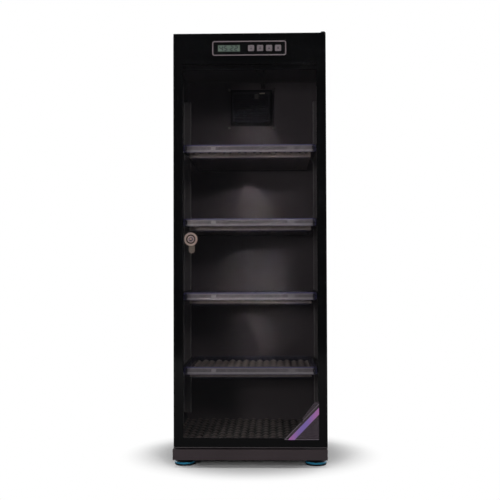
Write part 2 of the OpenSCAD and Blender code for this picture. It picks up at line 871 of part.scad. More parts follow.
// A top or bottom member: a tray open towards the glass, with solid ends for the pins
module door_rail(z0, z1) {
    difference() {
        block([door_left, door_right], [glass_back_y, frame_back_y], [z0, z1]);
        block([door_left + rail_end_l, door_right - rail_end_l],
              [glass_back_y - cut, frame_back_y - frame_wall],
              [z0 + frame_wall, z1 - frame_wall]);
        children();
    }
}

module door_rail_top() {
    color([0.04, 0.04, 0.045])
    door_rail(rail_top_z, door_top) {
        translate([hinge_x, hinge_y, door_top - pin_l - cut])
            cylinder(r = pin_r + running_gap, h = pin_l + 2 * cut);
    }
}

// The bottom member, with a ledge that carries the glass
module door_rail_bottom() {
    color([0.04, 0.04, 0.045])
    door_rail(door_z, rail_low_top) {
        translate([hinge_x, hinge_y, door_z - cut])
            cylinder(r = pin_r + running_gap, h = pin_l + 2 * cut);
    }
    color([0.04, 0.04, 0.045])
    difference() {
        union() {
            block([door_left, door_right], [front_y, glass_back_y + frame_wall], [door_z - ledge_h, door_z]);
            block([door_left, door_right], [glass_back_y, glass_back_y + frame_wall],
                  [door_z - ledge_h, door_z + frame_wall / 2]);
        }
        translate([hinge_x, hinge_y, door_z - ledge_h - cut])
            cylinder(r = bush_r + 2 * seat_gap, h = ledge_h + cut);
        translate([hinge_x, hinge_y, door_z - cut])
            cylinder(r = pin_r + running_gap, h = pin_l + 2 * cut);
    }
}

module door_glass() {
    color([0.1, 0.11, 0.12, 0.35])
    difference() {
        block([door_left, door_right], [front_y, glass_back_y], [door_z, door_top]);
        translate([panel_x, 0, panel_z])
            slab(fascia_w + 2 * seat_gap, fascia_h + 2 * seat_gap, fascia_corner,
                 front_y - cut, glass_back_y + cut);
        translate([lock_x, 0, lock_z]) rod_y(lock_hole_r, front_y - cut, glass_back_y + cut);
    }
}

module door_seal() {
    seal_x = half_w - seal_edge;
    seal_z0 = door_z + seal_low_in;
    seal_z1 = door_top - seal_edge;
    color([0.08, 0.08, 0.08])
    difference() {
        block([-seal_x, seal_x], [frame_back_y, frame_back_y + seal_t], [seal_z0, seal_z1]);
        block([-seal_x + seal_w, seal_x - seal_w],
              [frame_back_y - cut, frame_back_y + seal_t + cut],
              [seal_z0 + seal_w, seal_z1 - seal_w]);
    }
}

module corner_label() {
    x0 = label_x1 - label_w;
    step_x = x0 + label_step_share * label_w;
    step_z = label_z0 + label_step_share * label_h;
    color([0.3, 0.28, 0.36])
    translate([0, front_y, 0]) rotate([90, 0, 0]) linear_extrude(height = label_t)
    polygon([
        [x0, label_z0], [label_x1, label_z0], [label_x1, label_z0 + label_h],
        [label_x1 - label_tip, label_z0 + label_h], [step_x + label_step, step_z + label_step * 2],
        [step_x + label_step, step_z], [step_x, step_z], [x0, label_z0 + label_step / 2]]);
}

// Control panel

module control_bezel() {
    color([0.75, 0.75, 0.76])
    translate([panel_x, 0, panel_z])
    difference() {
        slab(panel_w, panel_h, panel_corner, front_y - panel_proud, front_y);
        slab(fascia_w, fascia_h, fascia_corner, front_y - panel_proud - cut, front_y + cut);
    }
}

module button_places() {
    for (k = [0:button_count - 1]) translate([button_x + k * button_pitch, 0, panel_z]) children();
}

module control_fascia() {
    hole_s = button_s + 2 * button_gap;
    color([0.03, 0.03, 0.03])
    difference() {
        translate([panel_x, 0, panel_z])
            slab(fascia_w - seat_gap, fascia_h - seat_gap, fascia_corner, front_y - fascia_set, glass_back_y);
        translate([lcd_x, 0, panel_z])
            slab(lcd_w + 2 * button_gap, lcd_h + 2 * button_gap, button_gap, front_y - panel_proud - cut,
                 glass_back_y + cut);
        button_places() slab(hole_s, hole_s, button_corner, front_y - panel_proud - cut, glass_back_y + cut);
    }
}

module control_housing() {
    well_s = button_s + 3 * panel_line;
    color([0.08, 0.08, 0.09])
    difference() {
        translate([panel_x, 0, panel_z])
            slab(housing_w, housing_h, fascia_corner, glass_back_y, glass_back_y + housing_d);
        button_places()
            slab(well_s - panel_line, well_s - panel_line, button_corner, glass_back_y - cut,
                 glass_back_y + button_well);
    }
}

module lcd() {
    color([0.45, 0.5, 0.46])
    translate([lcd_x, 0, panel_z])
        slab(lcd_w, lcd_h, button_gap, front_y - fascia_set + seat_gap, glass_back_y - seat_gap);
}

// A square cap with a flange behind the fascia and a stem that meets its switch
module button(k) {
    flange_y = glass_back_y + button_gap / 2;
    flange_s = button_s + panel_line;
    color([0.78, 0.78, 0.8])
    translate([button_x + (k - 1) * button_pitch, 0, panel_z]) {
        slab(button_s, button_s, button_corner, front_y - button_proud, flange_y);
        slab(flange_s, flange_s, button_corner, flange_y, flange_y + button_flange);
        rod_y(button_stem_r, flange_y, flange_y + button_flange + button_stem_l);
    }
}

// Lock

module lock_body() {
    color([0.78, 0.76, 0.75])
    translate([lock_x, 0, lock_z])
    difference() {
        union() {
            rod_y(lock_r - lock_edge_cut, front_y - lock_proud, front_y);
            rod_y(lock_r, front_y - lock_proud + lock_edge_cut, front_y);
            rod_y(lock_barrel_r, front_y - cut, cam_y - seat_gap);
        }
        rod_y(lock_core_r + running_gap, front_y - lock_proud - cut, cam_y + cut);
    }
}

module lock_nut() {
    color([0.6, 0.6, 0.6])
    translate([lock_x, 0, lock_z])
    difference() {
        translate([0, glass_back_y, 0]) rotate([-90, 0, 0]) cylinder(r = lock_nut_r, h = lock_nut_t, $fn = 6);
        rod_y(lock_barrel_r + running_gap, glass_back_y - cut, glass_back_y + lock_nut_t + cut);
    }
}

module lock_core() {
    core_front = front_y - lock_proud + lock_edge_cut / 2;
    color([0.7, 0.69, 0.68])
    translate([lock_x, 0, lock_z])
    difference() {
        rod_y(lock_core_r, core_front, cam_y);
        block([-key_slot_w / 2, key_slot_w / 2], [core_front - cut, core_front + key_slot_d],
              [-key_slot_h / 2, key_slot_h / 2]);
    }
}

// The cam hangs down when the lock is open and swings to the free side when it is shut
module lock_cam() {
    tip_r = cam_w / 2;
    color([0.62, 0.6, 0.57])
    translate([lock_x, 0, lock_z]) {
        rod_y(lock_core_r + cam_hub_rim, cam_y, cam_y + cam_t);
        block([-tip_r, tip_r], [cam_y, cam_y + cam_t], [tip_r - cam_reach, 0]);
        translate([0, 0, tip_r - cam_reach]) rod_y(tip_r, cam_y, cam_y + cam_t);
        rod_y(cam_head_r, cam_y, cam_y + cam_t + cam_head_h);
    }
}

// Trays

module tray(k) {
    z1 = tray_top(k);
    rim_z = z1 - rim_down;
    color([0.55, 0.56, 0.62, 0.6])
    difference() {
        union() {
            block([-tray_body_w / 2, tray_body_w / 2], [tray_body_y, tray_back], [z1 - tray_h, rim_z]);
            block([-tray_w / 2, tray_w / 2], [tray_y + lip_t / 2, tray_back], [rim_z - tray_wall, rim_z]);
            translate([0, 0, z1 - lip_h / 2]) slab(tray_w, lip_h, lip_corner, tray_y, tray_y + lip_t);
        }
        block([-tray_body_w / 2 + tray_wall, tray_body_w / 2 - tray_wall],
              [tray_body_y + tray_wall, tray_back - tray_wall],
              [z1 - tray_h + tray_wall, z1 + cut]);
    }
}

module tray_foam(k) {
    side = tray_wall + soft_gap;
    color([0.3, 0.27, 0.25])
    translate([side - tray_body_w / 2, tray_body_y + side, tray_top(k) - tray_h + tray_wall + seat_gap])
    egg_crate(tray_body_w - 2 * side, tray_back - tray_body_y - 2 * side);
}

plinth_front();
plinth_sides();
plinth_rear();
side_panel(-1);  // side_panel_left
side_panel(1);  // side_panel_right
top_panel();
back_panel();
floor_panel();
ceiling_panel();
face_stile(-1);  // face_stile_left
face_stile(1);  // face_stile_right
face_header();
face_sill();
hinge_brackets();
screws();
uprights();
runners();
floor_mat();
unit_housing();
unit_grille();
unit_indicator();
humidity_sensor();
unit_cables();
cable_gland();
rear_vent_cover();
door_stile(door_left);  // door_stile_left
door_stile(door_right - door_stile_w);  // door_stile_right
door_rail_top();
door_rail_bottom();
door_glass();
door_seal();
corner_label();
control_bezel();
control_fascia();
control_housing();
lcd();
for (k = [1:button_count]) {
    button(k);
}
lock_body();
lock_nut();
lock_core();
lock_cam();
for (k = [1:tray_count]) {
    tray(k);
    tray_foam(k);
}
foot(-1, false);  // foot_front_left
foot(1, false);  // foot_front_right
foot(-1, true);  // foot_rear_left
foot(1, true);  // foot_rear_right
foot_ring(-1, false);  // foot_ring_front_left
foot_ring(1, false);  // foot_ring_front_right
foot_ring(-1, true);  // foot_ring_rear_left
foot_ring(1, true);  // foot_ring_rear_right
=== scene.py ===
import json
import logging
import math
from collections.abc import Callable, Iterator, Sequence
from contextlib import contextmanager
from dataclasses import dataclass
from enum import Enum
from typing import ClassVar

import bmesh
import bpy
from mathutils import Matrix, Vector


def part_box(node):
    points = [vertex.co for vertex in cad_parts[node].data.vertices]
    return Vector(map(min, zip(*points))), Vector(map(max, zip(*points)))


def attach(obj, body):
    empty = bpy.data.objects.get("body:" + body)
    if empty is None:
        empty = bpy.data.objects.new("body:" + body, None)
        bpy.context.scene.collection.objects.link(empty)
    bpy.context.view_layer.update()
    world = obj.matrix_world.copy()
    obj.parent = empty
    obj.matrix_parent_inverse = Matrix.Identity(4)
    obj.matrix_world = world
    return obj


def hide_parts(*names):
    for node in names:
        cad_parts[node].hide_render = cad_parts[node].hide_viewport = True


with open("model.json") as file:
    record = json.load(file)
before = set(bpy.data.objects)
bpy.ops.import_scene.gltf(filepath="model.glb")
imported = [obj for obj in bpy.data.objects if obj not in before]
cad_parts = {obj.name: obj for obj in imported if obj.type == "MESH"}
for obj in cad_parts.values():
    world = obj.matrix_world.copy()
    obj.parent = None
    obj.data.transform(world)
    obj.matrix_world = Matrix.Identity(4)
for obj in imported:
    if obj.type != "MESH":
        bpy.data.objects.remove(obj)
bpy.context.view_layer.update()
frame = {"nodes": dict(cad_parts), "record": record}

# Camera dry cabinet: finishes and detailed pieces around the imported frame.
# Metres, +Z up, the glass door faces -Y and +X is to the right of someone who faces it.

MM = 0.001
# Numbers that differ by less than SAME count as equal, points nearer than MERGE become one, faces
# within FLAT_ANGLE degrees of each other become one, and FACING is how square a face stands to an axis.
SAME = 0.001 * MM
MERGE = 0.002 * MM
FLAT_ANGLE = 0.5
FACING = 0.9

logging.basicConfig(level=logging.INFO, format="%(message)s")
log = logging.getLogger("cabinet")

NODES: dict[str, bpy.types.Object] = frame["nodes"]
BODY_OF: dict[str, str] = {
    node: body for body, nodes in frame["record"]["behaviour"]["bodies"].items() for node in nodes
}


class Axis(Enum):
    """The three axes of the row frame, as indices."""

    X = 0
    Y = 1
    Z = 2


@dataclass(frozen=True)
class Extent:
    """A node's lowest and highest corners, in metres."""

    low: Vector
    high: Vector

    @classmethod
    def of(cls, node: str) -> "Extent":
        """The box of a CAD node at rest."""
        low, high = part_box(node)
        return cls(Vector(low), Vector(high))

    @property
    def centre(self) -> Vector:
        """The middle of the box."""
        return (self.low + self.high) / 2

    @property
    def size(self) -> Vector:
        """The box's three sides."""
        return self.high - self.low


# Shaders


class Val:
    """A shader socket that takes Python's arithmetic, each step a Math node."""

    def __init__(self, tree: bpy.types.NodeTree, socket: bpy.types.NodeSocket) -> None:
        """Keeps the tree and the output socket."""
        self.tree = tree
        self.socket = socket

    def math(self, operation: str, *others: "Val | float", swap: bool = False) -> "Val":
        """Adds one Math node.

        Args:
            operation: the node's operation.
            others: the other operands, values or numbers.
            swap: puts this value second.

        Returns:
            The node's result.
        """
        node = self.tree.nodes.new("ShaderNodeMath")
        node.operation = operation
        operands = [self, *others]
        if swap:
            operands[0], operands[1] = operands[1], operands[0]
        for index, operand in enumerate(operands):
            if isinstance(operand, Val):
                self.tree.links.new(operand.socket, node.inputs[index])
            else:
                node.inputs[index].default_value = operand
        return Val(self.tree, node.outputs[0])

    def __add__(self, other: "Val | float") -> "Val":
        """Sum."""
        return self.math("ADD", other)

    __radd__ = __add__

    def __sub__(self, other: "Val | float") -> "Val":
        """Difference."""
        return self.math("SUBTRACT", other)

    def __rsub__(self, other: float) -> "Val":
        """Difference from a number."""
        return self.math("SUBTRACT", other, swap=True)

    def __mul__(self, other: "Val | float") -> "Val":
        """Product."""
        return self.math("MULTIPLY", other)

    __rmul__ = __mul__

    def __truediv__(self, other: "Val | float") -> "Val":
        """Quotient."""
        return self.math("DIVIDE", other)

    def __pow__(self, other: float) -> "Val":
        """Power."""
        return self.math("POWER", other)

    def __abs__(self) -> "Val":
        """Size without sign."""
        return self.math("ABSOLUTE")

    def above(self, edge: "Val | float") -> "Val":
        """1 where this value is above the edge, 0 elsewhere."""
        return self.math("GREATER_THAN", edge)

    def below(self, edge: "Val | float") -> "Val":
        """1 where this value is below the edge, 0 elsewhere."""
        return self.math("LESS_THAN", edge)

    def between(self, low: float, high: float) -> "Val":
        """1 where this value lies between two numbers."""
        return self.above(low) * self.below(high)

    def least(self, other: "Val | float") -> "Val":
        """The smaller of two values."""
        return self.math("MINIMUM", other)

    def window(self, low: float, high: float, fade: float) -> "Val":
        """1 between two numbers and 0 outside, smooth over a fade centred on each."""
        return self.ramp(low - fade, low + fade) * (1 - self.ramp(high - fade, high + fade))

    def ramp(self, low: float, high: float) -> "Val":
        """0 at low and 1 at high, smooth between and held outside."""
        node = self.tree.nodes.new("ShaderNodeMapRange")
        node.interpolation_type = "SMOOTHSTEP"
        self.tree.links.new(self.socket, node.inputs["Value"])
        node.inputs["From Min"].default_value = low
        node.inputs["From Max"].default_value = high
        return Val(self.tree, node.outputs["Result"])


Colour = tuple[float, float, float]


class Shader:
    """One material and the nodes that make it."""

    def __init__(self, name: str) -> None:
        """Starts a material with an empty tree and a Principled surface."""
        self.material = bpy.data.materials.new(name)
        self.material.use_nodes = True
        self.tree = self.material.node_tree
        self.tree.nodes.clear()
        self.output = self.tree.nodes.new("ShaderNodeOutputMaterial")
        self.surface = self.node("ShaderNodeBsdfPrincipled")
        self.tree.links.new(self.surface.outputs[0], self.output.inputs["Surface"])
        self._place: Val | None = None

    def node(
        self, kind: str, settings: dict[str, object] | None = None, **inputs: object
    ) -> bpy.types.Node:
        """Adds a node of any kind.

        Args:
            kind: the node's type name.
            settings: its properties, which are set first.
            inputs: values or links by socket name, with underscores for spaces.

        Returns:
            The new node.
        """
        node = self.tree.nodes.new(kind)
        for key, value in (settings or {}).items():
            setattr(node, key, value)
        for key, value in inputs.items():
            self.feed(node.inputs[key.replace("_", " ")], value)
        return node

    def feed(self, socket: bpy.types.NodeSocket, value: object) -> None:
        """Links a value to a socket, or sets a constant on it."""
        if isinstance(value, Val):
            self.tree.links.new(value.socket, socket)
        elif isinstance(value, tuple) and len(value) == 3 and socket.type == "RGBA":
            socket.default_value = (*value, 1.0)
        else:
            socket.default_value = value

    def set(self, **inputs: object) -> None:
        """Feeds the Principled surface's own sockets."""
        for key, value in inputs.items():
            self.feed(self.surface.inputs[key.replace("_", " ")], value)

    @property
    def place(self) -> Val:
        """Object coordinates, which are metres in the row frame at rest."""
        if self._place is None:
            self._place = Val(self.tree, self.node("ShaderNodeTexCoord").outputs["Object"])
        return self._place

    def stretched(self, scale: Sequence[float]) -> Val:
        """Object coordinates scaled along each axis."""
        node = self.node("ShaderNodeMapping", Vector=self.place, Scale=tuple(scale))
        return Val(self.tree, node.outputs[0])

    def along(self, axis: Axis) -> Val:
        """One of the object coordinates."""
        node = self.node("ShaderNodeSeparateXYZ", Vector=self.place)
        return Val(self.tree, node.outputs[axis.value])

    def noise(self, scale: float, detail: float = 3.0, vector: Val | None = None) -> Val:
        """Smooth noise from 0 to 1, about scale bumps a metre."""
        node = self.node(
            "ShaderNodeTexNoise", Vector=vector or self.place, Scale=scale, Detail=detail, Roughness=0.55
        )
        return Val(self.tree, node.outputs[0])

    def cells(self, scale: float) -> Val:
        """Distance to the nearest of many scattered points, in cells."""
        node = self.node("ShaderNodeTexVoronoi", Vector=self.place, Scale=scale)
        return Val(self.tree, node.outputs["Distance"])

    def blend(self, share: Val, first: "Val | Colour", second: "Val | Colour") -> Val:
        """Mixes two colours.

        Args:
            share: how much of the second shows, from 0 to 1.
            first: the first colour.
            second: the second colour.

        Returns:
            The mixed colour.
        """
        node = self.node("ShaderNodeMix", {"data_type": "RGBA"})
        self.feed(node.inputs[0], share)
        self.feed(node.inputs[6], first)
        self.feed(node.inputs[7], second)
        return Val(self.tree, node.outputs[2])

    def bump(self, height: Val, depth: float, strength: float = 1.0) -> Val:
        """A normal from a height map.

        Args:
            height: the height from 0 to 1.
            depth: how deep a full step is, in metres.
            strength: the share of it that shows.

        Returns:
            The normal.
        """
        node = self.node("ShaderNodeBump", Height=height, Distance=depth, Strength=strength)
        return Val(self.tree, node.outputs[0])


def shade(colour: Colour, factor: float) -> Colour:
    """A colour made lighter or darker by a factor."""
    return tuple(min(1.0, part * factor) for part in colour)


# Finishes


class Finish:
    """A finish that is made once and used on many pieces."""

    made: ClassVar[dict["Finish", bpy.types.Material]] = {}

    def material(self) -> bpy.types.Material:
        """The finish's material, made at its first use."""
        if self not in Finish.made:
            Finish.made[self] = self.mix().material
        return Finish.made[self]

    def mix(self) -> Shader:
        """Builds the nodes."""
        raise NotImplementedError


@dataclass(frozen=True)
class PowderCoat(Finish):
    """Baked powder paint on sheet steel: a fine orange-peel with slight clouding and rubbed patches."""

    name: str
    colour: Colour
    roughness: float = 0.5
    peel: float = 0.06 * MM
    peel_scale: float = 900.0
    cloud_scale: float = 9.0
    dust_scale: float = 2600.0
    specular: float = 0.4
    rear_y: float | None = None
    rear_colour: Colour = (0.012, 0.012, 0.013)

    def mix(self) -> Shader:
        """Builds the nodes."""
        shader = Shader(self.name)
        fine = shader.noise(self.peel_scale, 2.0)
        cloud = shader.noise(self.cloud_scale, 4.0)
        dust = shader.noise(self.dust_scale, 1.0).ramp(0.62, 0.8)
        colour = shader.blend(cloud.ramp(0.3, 0.7), shade(self.colour, 0.94), shade(self.colour, 1.06))
        if self.rear_y is not None:
            colour = shader.blend(shader.along(Axis.Y).above(self.rear_y), colour, self.rear_colour)
        colour = shader.blend(dust * 0.35, colour, shade(self.colour, 1.7))
        shader.set(
            Base_Color=colour,
            Roughness=self.roughness + (cloud - 0.5) * 0.12 + (fine - 0.5) * 0.1,
            Normal=shader.bump(fine, self.peel),
            Specular_IOR_Level=self.specular,
        )
        return shader


@dataclass(frozen=True)
class Moulded(Finish):
    """Moulded plastic or rubber with a fine spark-eroded texture."""

    name: str
    colour: Colour
    roughness: float = 0.45
    grain: float = 0.04 * MM
    grain_scale: float = 1800.0
    cloud_scale: float = 30.0
    specular: float = 0.4

    def mix(self) -> Shader:
        """Builds the nodes."""
        shader = Shader(self.name)
        grain = shader.noise(self.grain_scale, 3.0)
        cloud = shader.noise(self.cloud_scale, 3.0)
        colour = shader.blend(cloud, shade(self.colour, 0.86), shade(self.colour, 1.14))
        shader.set(
            Base_Color=colour,
            Roughness=self.roughness + (grain - 0.5) * 0.16,
            Normal=shader.bump(grain, self.grain),
            Specular_IOR_Level=self.specular,
        )
        return shader


@dataclass(frozen=True)
class BrushedMetal(Finish):
    """Metal with fine brushing along one axis and a few darker smudges."""

    name: str
    colour: Colour
    roughness: float = 0.3
    along: Axis = Axis.X
    metallic: float = 1.0
    brush: float = 0.02 * MM
    across_scale: float = 1400.0
    along_scale: float = 30.0
    smudge_scale: float = 55.0

    def mix(self) -> Shader:
        """Builds the nodes."""
        shader = Shader(self.name)
        scale = [self.across_scale] * len(Axis)
        scale[self.along.value] = self.along_scale
        lines = shader.noise(1.0, 3.0, shader.stretched(scale))
        smudge = shader.noise(self.smudge_scale, 4.0)
        colour = shader.blend(lines, shade(self.colour, 0.85), shade(self.colour, 1.1))
        colour = shader.blend(smudge.ramp(0.55, 0.75) * 0.35, colour, shade(self.colour, 0.6))
        shader.set(
            Base_Color=colour,
            Metallic=self.metallic,
            Roughness=self.roughness + (lines - 0.5) * 0.18 + (smudge - 0.5) * 0.12,
            Normal=shader.bump(lines, self.brush),
        )
        return shader


@dataclass(frozen=True)
class TurnedMetal(Finish):
    """Satin metal with the rings that a lathe leaves about an axis along Y, and painted shade in a sunk
    ring.

    The rings' rate is in radians per metre of radius.
    """

    name: str
    colour: Colour
    centre_x: float
    centre_z: float
    roughness: float
    # The radii of the sunk ring that painted shade darkens.
    sunk: tuple[float, float]
    metallic: float = 0.6
    groove_shade_fade: float = 0.3 * MM
    ring_rate: float = 9000.0
    ring_depth: float = 0.01 * MM
    smudge_scale: float = 130.0

    def mix(self) -> Shader:
        """Builds the nodes."""
        shader = Shader(self.name)
        dx = shader.along(Axis.X) - self.centre_x
        dz = shader.along(Axis.Z) - self.centre_z
        radius = (dx * dx + dz * dz) ** 0.5
        rings = (radius * self.ring_rate).math("SINE") * 0.5 + 0.5
        smudge = shader.noise(self.smudge_scale, 3.0)
        colour = shader.blend(smudge, shade(self.colour, 0.8), shade(self.colour, 1.1))
        # Painted shade: the colour is darkened in the sunk ring.
        dark = radius.window(*self.sunk, self.groove_shade_fade)
        colour = shader.blend(dark, colour, shade(self.colour, 0.12))
        shader.set(
            Base_Color=colour,
            Metallic=self.metallic,
            Roughness=self.roughness + (rings - 0.5) * 0.12 + (smudge - 0.5) * 0.1,
            Normal=shader.bump(rings, self.ring_depth),
        )
        return shader


@dataclass(frozen=True)
class Foam(Finish):
    """Open-cell polyurethane foam, with painted shade down in its valleys and a painted highlight on its
    peaks.
    """

    name: str
    colour: Colour
    low_z: float
    # How dark the painted shade in the valleys is, as a share of the colour.
    deep: float
    shaded_to: float = 4.5 * MM
    lit_from: float = 11.5 * MM
    pore_depth: float = 0.7 * MM
    pore_scale: float = 650.0
    speck_scale: float = 1500.0
    cloud_scale: float = 26.0

    def mix(self) -> Shader:
        """Builds the nodes."""
        shader = Shader(self.name)
        pores = shader.cells(self.pore_scale)
        cloud = shader.noise(self.cloud_scale, 4.0)
        speck = shader.noise(self.speck_scale, 2.0)
        # Painted shade and light: darker down in the valleys, lighter up on the peaks.
        painted_lit_share = shader.along(Axis.Z).ramp(self.low_z + self.shaded_to, self.low_z + self.lit_from)
        colour = shader.blend(painted_lit_share, shade(self.colour, self.deep), shade(self.colour, 1.3))
        colour = shader.blend(shader.along(Axis.Z).below(self.low_z), colour, self.colour)
        colour = shader.blend(cloud.ramp(0.35, 0.7) * 0.5, colour, shade(self.colour, 1.3))
        colour = shader.blend(speck.ramp(0.55, 0.75) * 0.6, colour, shade(self.colour, 0.45))
        height = pores.ramp(0.0, 0.6) * 0.7 + speck * 0.3
        shader.set(
            Base_Color=colour,
            Roughness=0.93 + (speck - 0.5) * 0.1,
            Normal=shader.bump(height, self.pore_depth),
            Specular_IOR_Level=0.15,
            Sheen_Weight=0.15,
            Sheen_Roughness=0.5,
        )
        return shader


@dataclass(frozen=True)
class ClearTray(Finish):
    """Smoke-clear styrene: clear in its walls, milky in its lip, violet where its edges gather light.

    The lip has painted shade in its channel, with two painted highlights in it, and clear ends. Heights on
    the lip are shares of its height, counted down from its top.
    """

    name: str
    half_w: float
    lip_front: float
    shelf_y: float
    low_z: float
    top_z: float
    lip_h: float
    lip_t: float = 4.5 * MM
    face_t: float = 6.0 * MM
    rim_below: float = 6.6 * MM
    keel_span: tuple[float, float] = (2.0 * MM, 4.0 * MM)
    end_span: tuple[float, float] = (5.0 * MM, 12.0 * MM)
    tip_span: tuple[float, float] = (2.5 * MM, 4.5 * MM)
    left_glint_x: float = -96.0 * MM
    left_glint_span: tuple[float, float] = (5.0 * MM, 7.5 * MM)
    right_glint_x: float = 109.0 * MM
    right_glint_span: tuple[float, float] = (6.0 * MM, 12.0 * MM)
    top_edge_shares: tuple[float, float] = (0.14, 0.2)
    channel_top_shares: tuple[float, float] = (0.22, 0.34)
    channel_low_shares: tuple[float, float] = (0.62, 0.74)
    low_edge_shares: tuple[float, float] = (0.93, 1.0)
    milky: Colour = (0.5, 0.45, 0.485)
    clear: Colour = (0.05, 0.05, 0.085)
    lilac: Colour = (0.2, 0.19, 0.25)
    violet: Colour = (0.085, 0.08, 0.25)
    scuff_scales: tuple[float, float, float] = (18.0, 400.0, 900.0)
    haze_scale: float = 70.0

    def lip_colour(self, shader: Shader, channel: Val, end: Val, haze: Val) -> Val:
        """The lip's colour.

        Args:
            shader: the tray's shader.
            channel: 1 in the channel along the lip.
            end: 1 at the lip's clear ends.
            haze: noise from 0 to 1.

        Returns:
            The colour.
        """
        x = shader.along(Axis.X)
        # Two painted highlights sit in the channel, one on each side of the middle.
        off_left = abs(x - self.left_glint_x).ramp(*self.left_glint_span)
        off_right = abs(x - self.right_glint_x).ramp(*self.right_glint_span) * 0.5 + 0.5
        pads = (1 - off_left * off_right) * channel * 0.8
        # Painted shade darkens the recessed channel.
        colour = shader.blend(channel, self.milky, shade(self.milky, 0.62))
        colour = shader.blend(pads, colour, shade(self.milky, 1.6))
        colour = shader.blend(end, colour, self.clear)
        return shader.blend(haze.ramp(0.35, 0.75) * 0.3, colour, shade(self.milky, 1.25))

    def mix(self) -> Shader:
        """Builds the nodes."""
        shader = Shader(self.name)
        x, y, z = (shader.along(axis) for axis in Axis)
        down = (self.top_z - z) / self.lip_h
        inward = self.half_w - abs(x)
        lip_back = self.lip_front + self.lip_t
        lip = y.below(lip_back)
        face = y.between(lip_back, self.shelf_y + self.face_t)
        rim = z.above(self.top_z - self.rim_below) * (1 - lip)
        keel = face * (1 - (z - self.low_z).ramp(*self.keel_span))
        channel = down.ramp(*self.channel_top_shares) * (1 - down.ramp(*self.channel_low_shares))
        end = 1 - inward.ramp(*self.end_span)
        edge = (1 - down.ramp(*self.top_edge_shares)) + down.ramp(*self.low_edge_shares) * lip + keel
        edge = (edge + lip * (1 - inward.ramp(*self.tip_span))).least(1.0)
        haze = shader.noise(self.haze_scale, 4.0)
        scuff = shader.noise(1.0, 4.0, shader.stretched(self.scuff_scales))
        colour = shader.blend(haze, self.clear, shade(self.clear, 1.5))
        colour = shader.blend(rim, colour, self.lilac)
        colour = shader.blend(lip, colour, self.lip_colour(shader, channel, end, haze))
        colour = shader.blend(edge * 0.8, colour, self.violet)
        opaque = 0.3 - face * 0.25 + rim * 0.2 + edge * 0.25
        opaque = opaque + lip * (0.5 - end * 0.4 - channel * 0.14)
        shader.set(
            Base_Color=colour,
            Roughness=0.2 + (scuff - 0.5) * 0.14 + lip * 0.1,
            Alpha=(opaque + (haze - 0.5) * 0.08).least(0.96),
            Normal=shader.bump(scuff, 0.03 * MM),
            Specular_IOR_Level=0.6,
        )
        return shader


@dataclass(frozen=True)
class DoorGlass(Finish):
    """Smoked glass with a black border baked on its rear face."""

    name: str
    window_low: tuple[float, float]
    window_high: tuple[float, float]
    tint: float = 0.22
    fade: float = 0.8 * MM
    border: Colour = (0.0028, 0.0028, 0.0032)
    smoke: Colour = (0.006, 0.0058, 0.0066)
    dust_colour: Colour = (0.2, 0.2, 0.2)
    smear_scale: float = 7.0
    dust_scale: float = 900.0

    def mix(self) -> Shader:
        """Builds the nodes."""
        shader = Shader(self.name)
        (x0, z0), (x1, z1) = self.window_low, self.window_high
        window = shader.along(Axis.X).window(x0, x1, self.fade)
        window = window * shader.along(Axis.Z).window(z0, z1, self.fade)
        smear = shader.noise(self.smear_scale, 5.0).ramp(0.45, 0.8)
        dust = shader.noise(self.dust_scale, 2.0).ramp(0.72, 0.85)
        colour = shader.blend(window, self.border, self.smoke)
        shader.set(
            Base_Color=shader.blend(dust * 0.05, colour, self.dust_colour),
            Roughness=0.03 + smear * 0.05 + dust * 0.05,
            Alpha=1 - window * (1 - self.tint) + dust * 0.02,
            Specular_IOR_Level=0.22,
        )
        return shader


@dataclass(frozen=True)
class EdgedSteel(Finish):
    """Grey paint on folded strips at both sides, with painted highlights along the folds."""

    name: str
    colour: Colour
    inner: float
    outer: float
    fold: float = 2.4 * MM
    sharp_share: float = 0.6
    streak_scales: tuple[float, float, float] = (300.0, 300.0, 14.0)
    peel: float = 0.05 * MM
    peel_scale: float = 900.0

    def mix(self) -> Shader:
        """Builds the nodes."""
        shader = Shader(self.name)
        side = abs(shader.along(Axis.X))
        sharp = self.sharp_share * self.fold
        # Painted highlight: lighter along both folds, where the bends catch the light, broken up by streaks
        # of noise.
        fold_highlight = 1 - side.ramp(self.inner + sharp, self.inner + self.fold)
        fold_highlight = fold_highlight + side.ramp(self.outer - self.fold, self.outer - sharp)
        streaks = shader.noise(1.0, 4.0, shader.stretched(self.streak_scales))
        fine = shader.noise(self.peel_scale, 2.0)
        colour = shader.blend(fold_highlight.least(1.0) * streaks.ramp(0.2, 0.6), self.colour, shade(self.colour, 3.6))
        shader.set(
            Base_Color=shader.blend(fine, colour, self.colour),
            Roughness=0.42 + (streaks - 0.5) * 0.15,
            Normal=shader.bump(fine, self.peel),
        )
        return shader


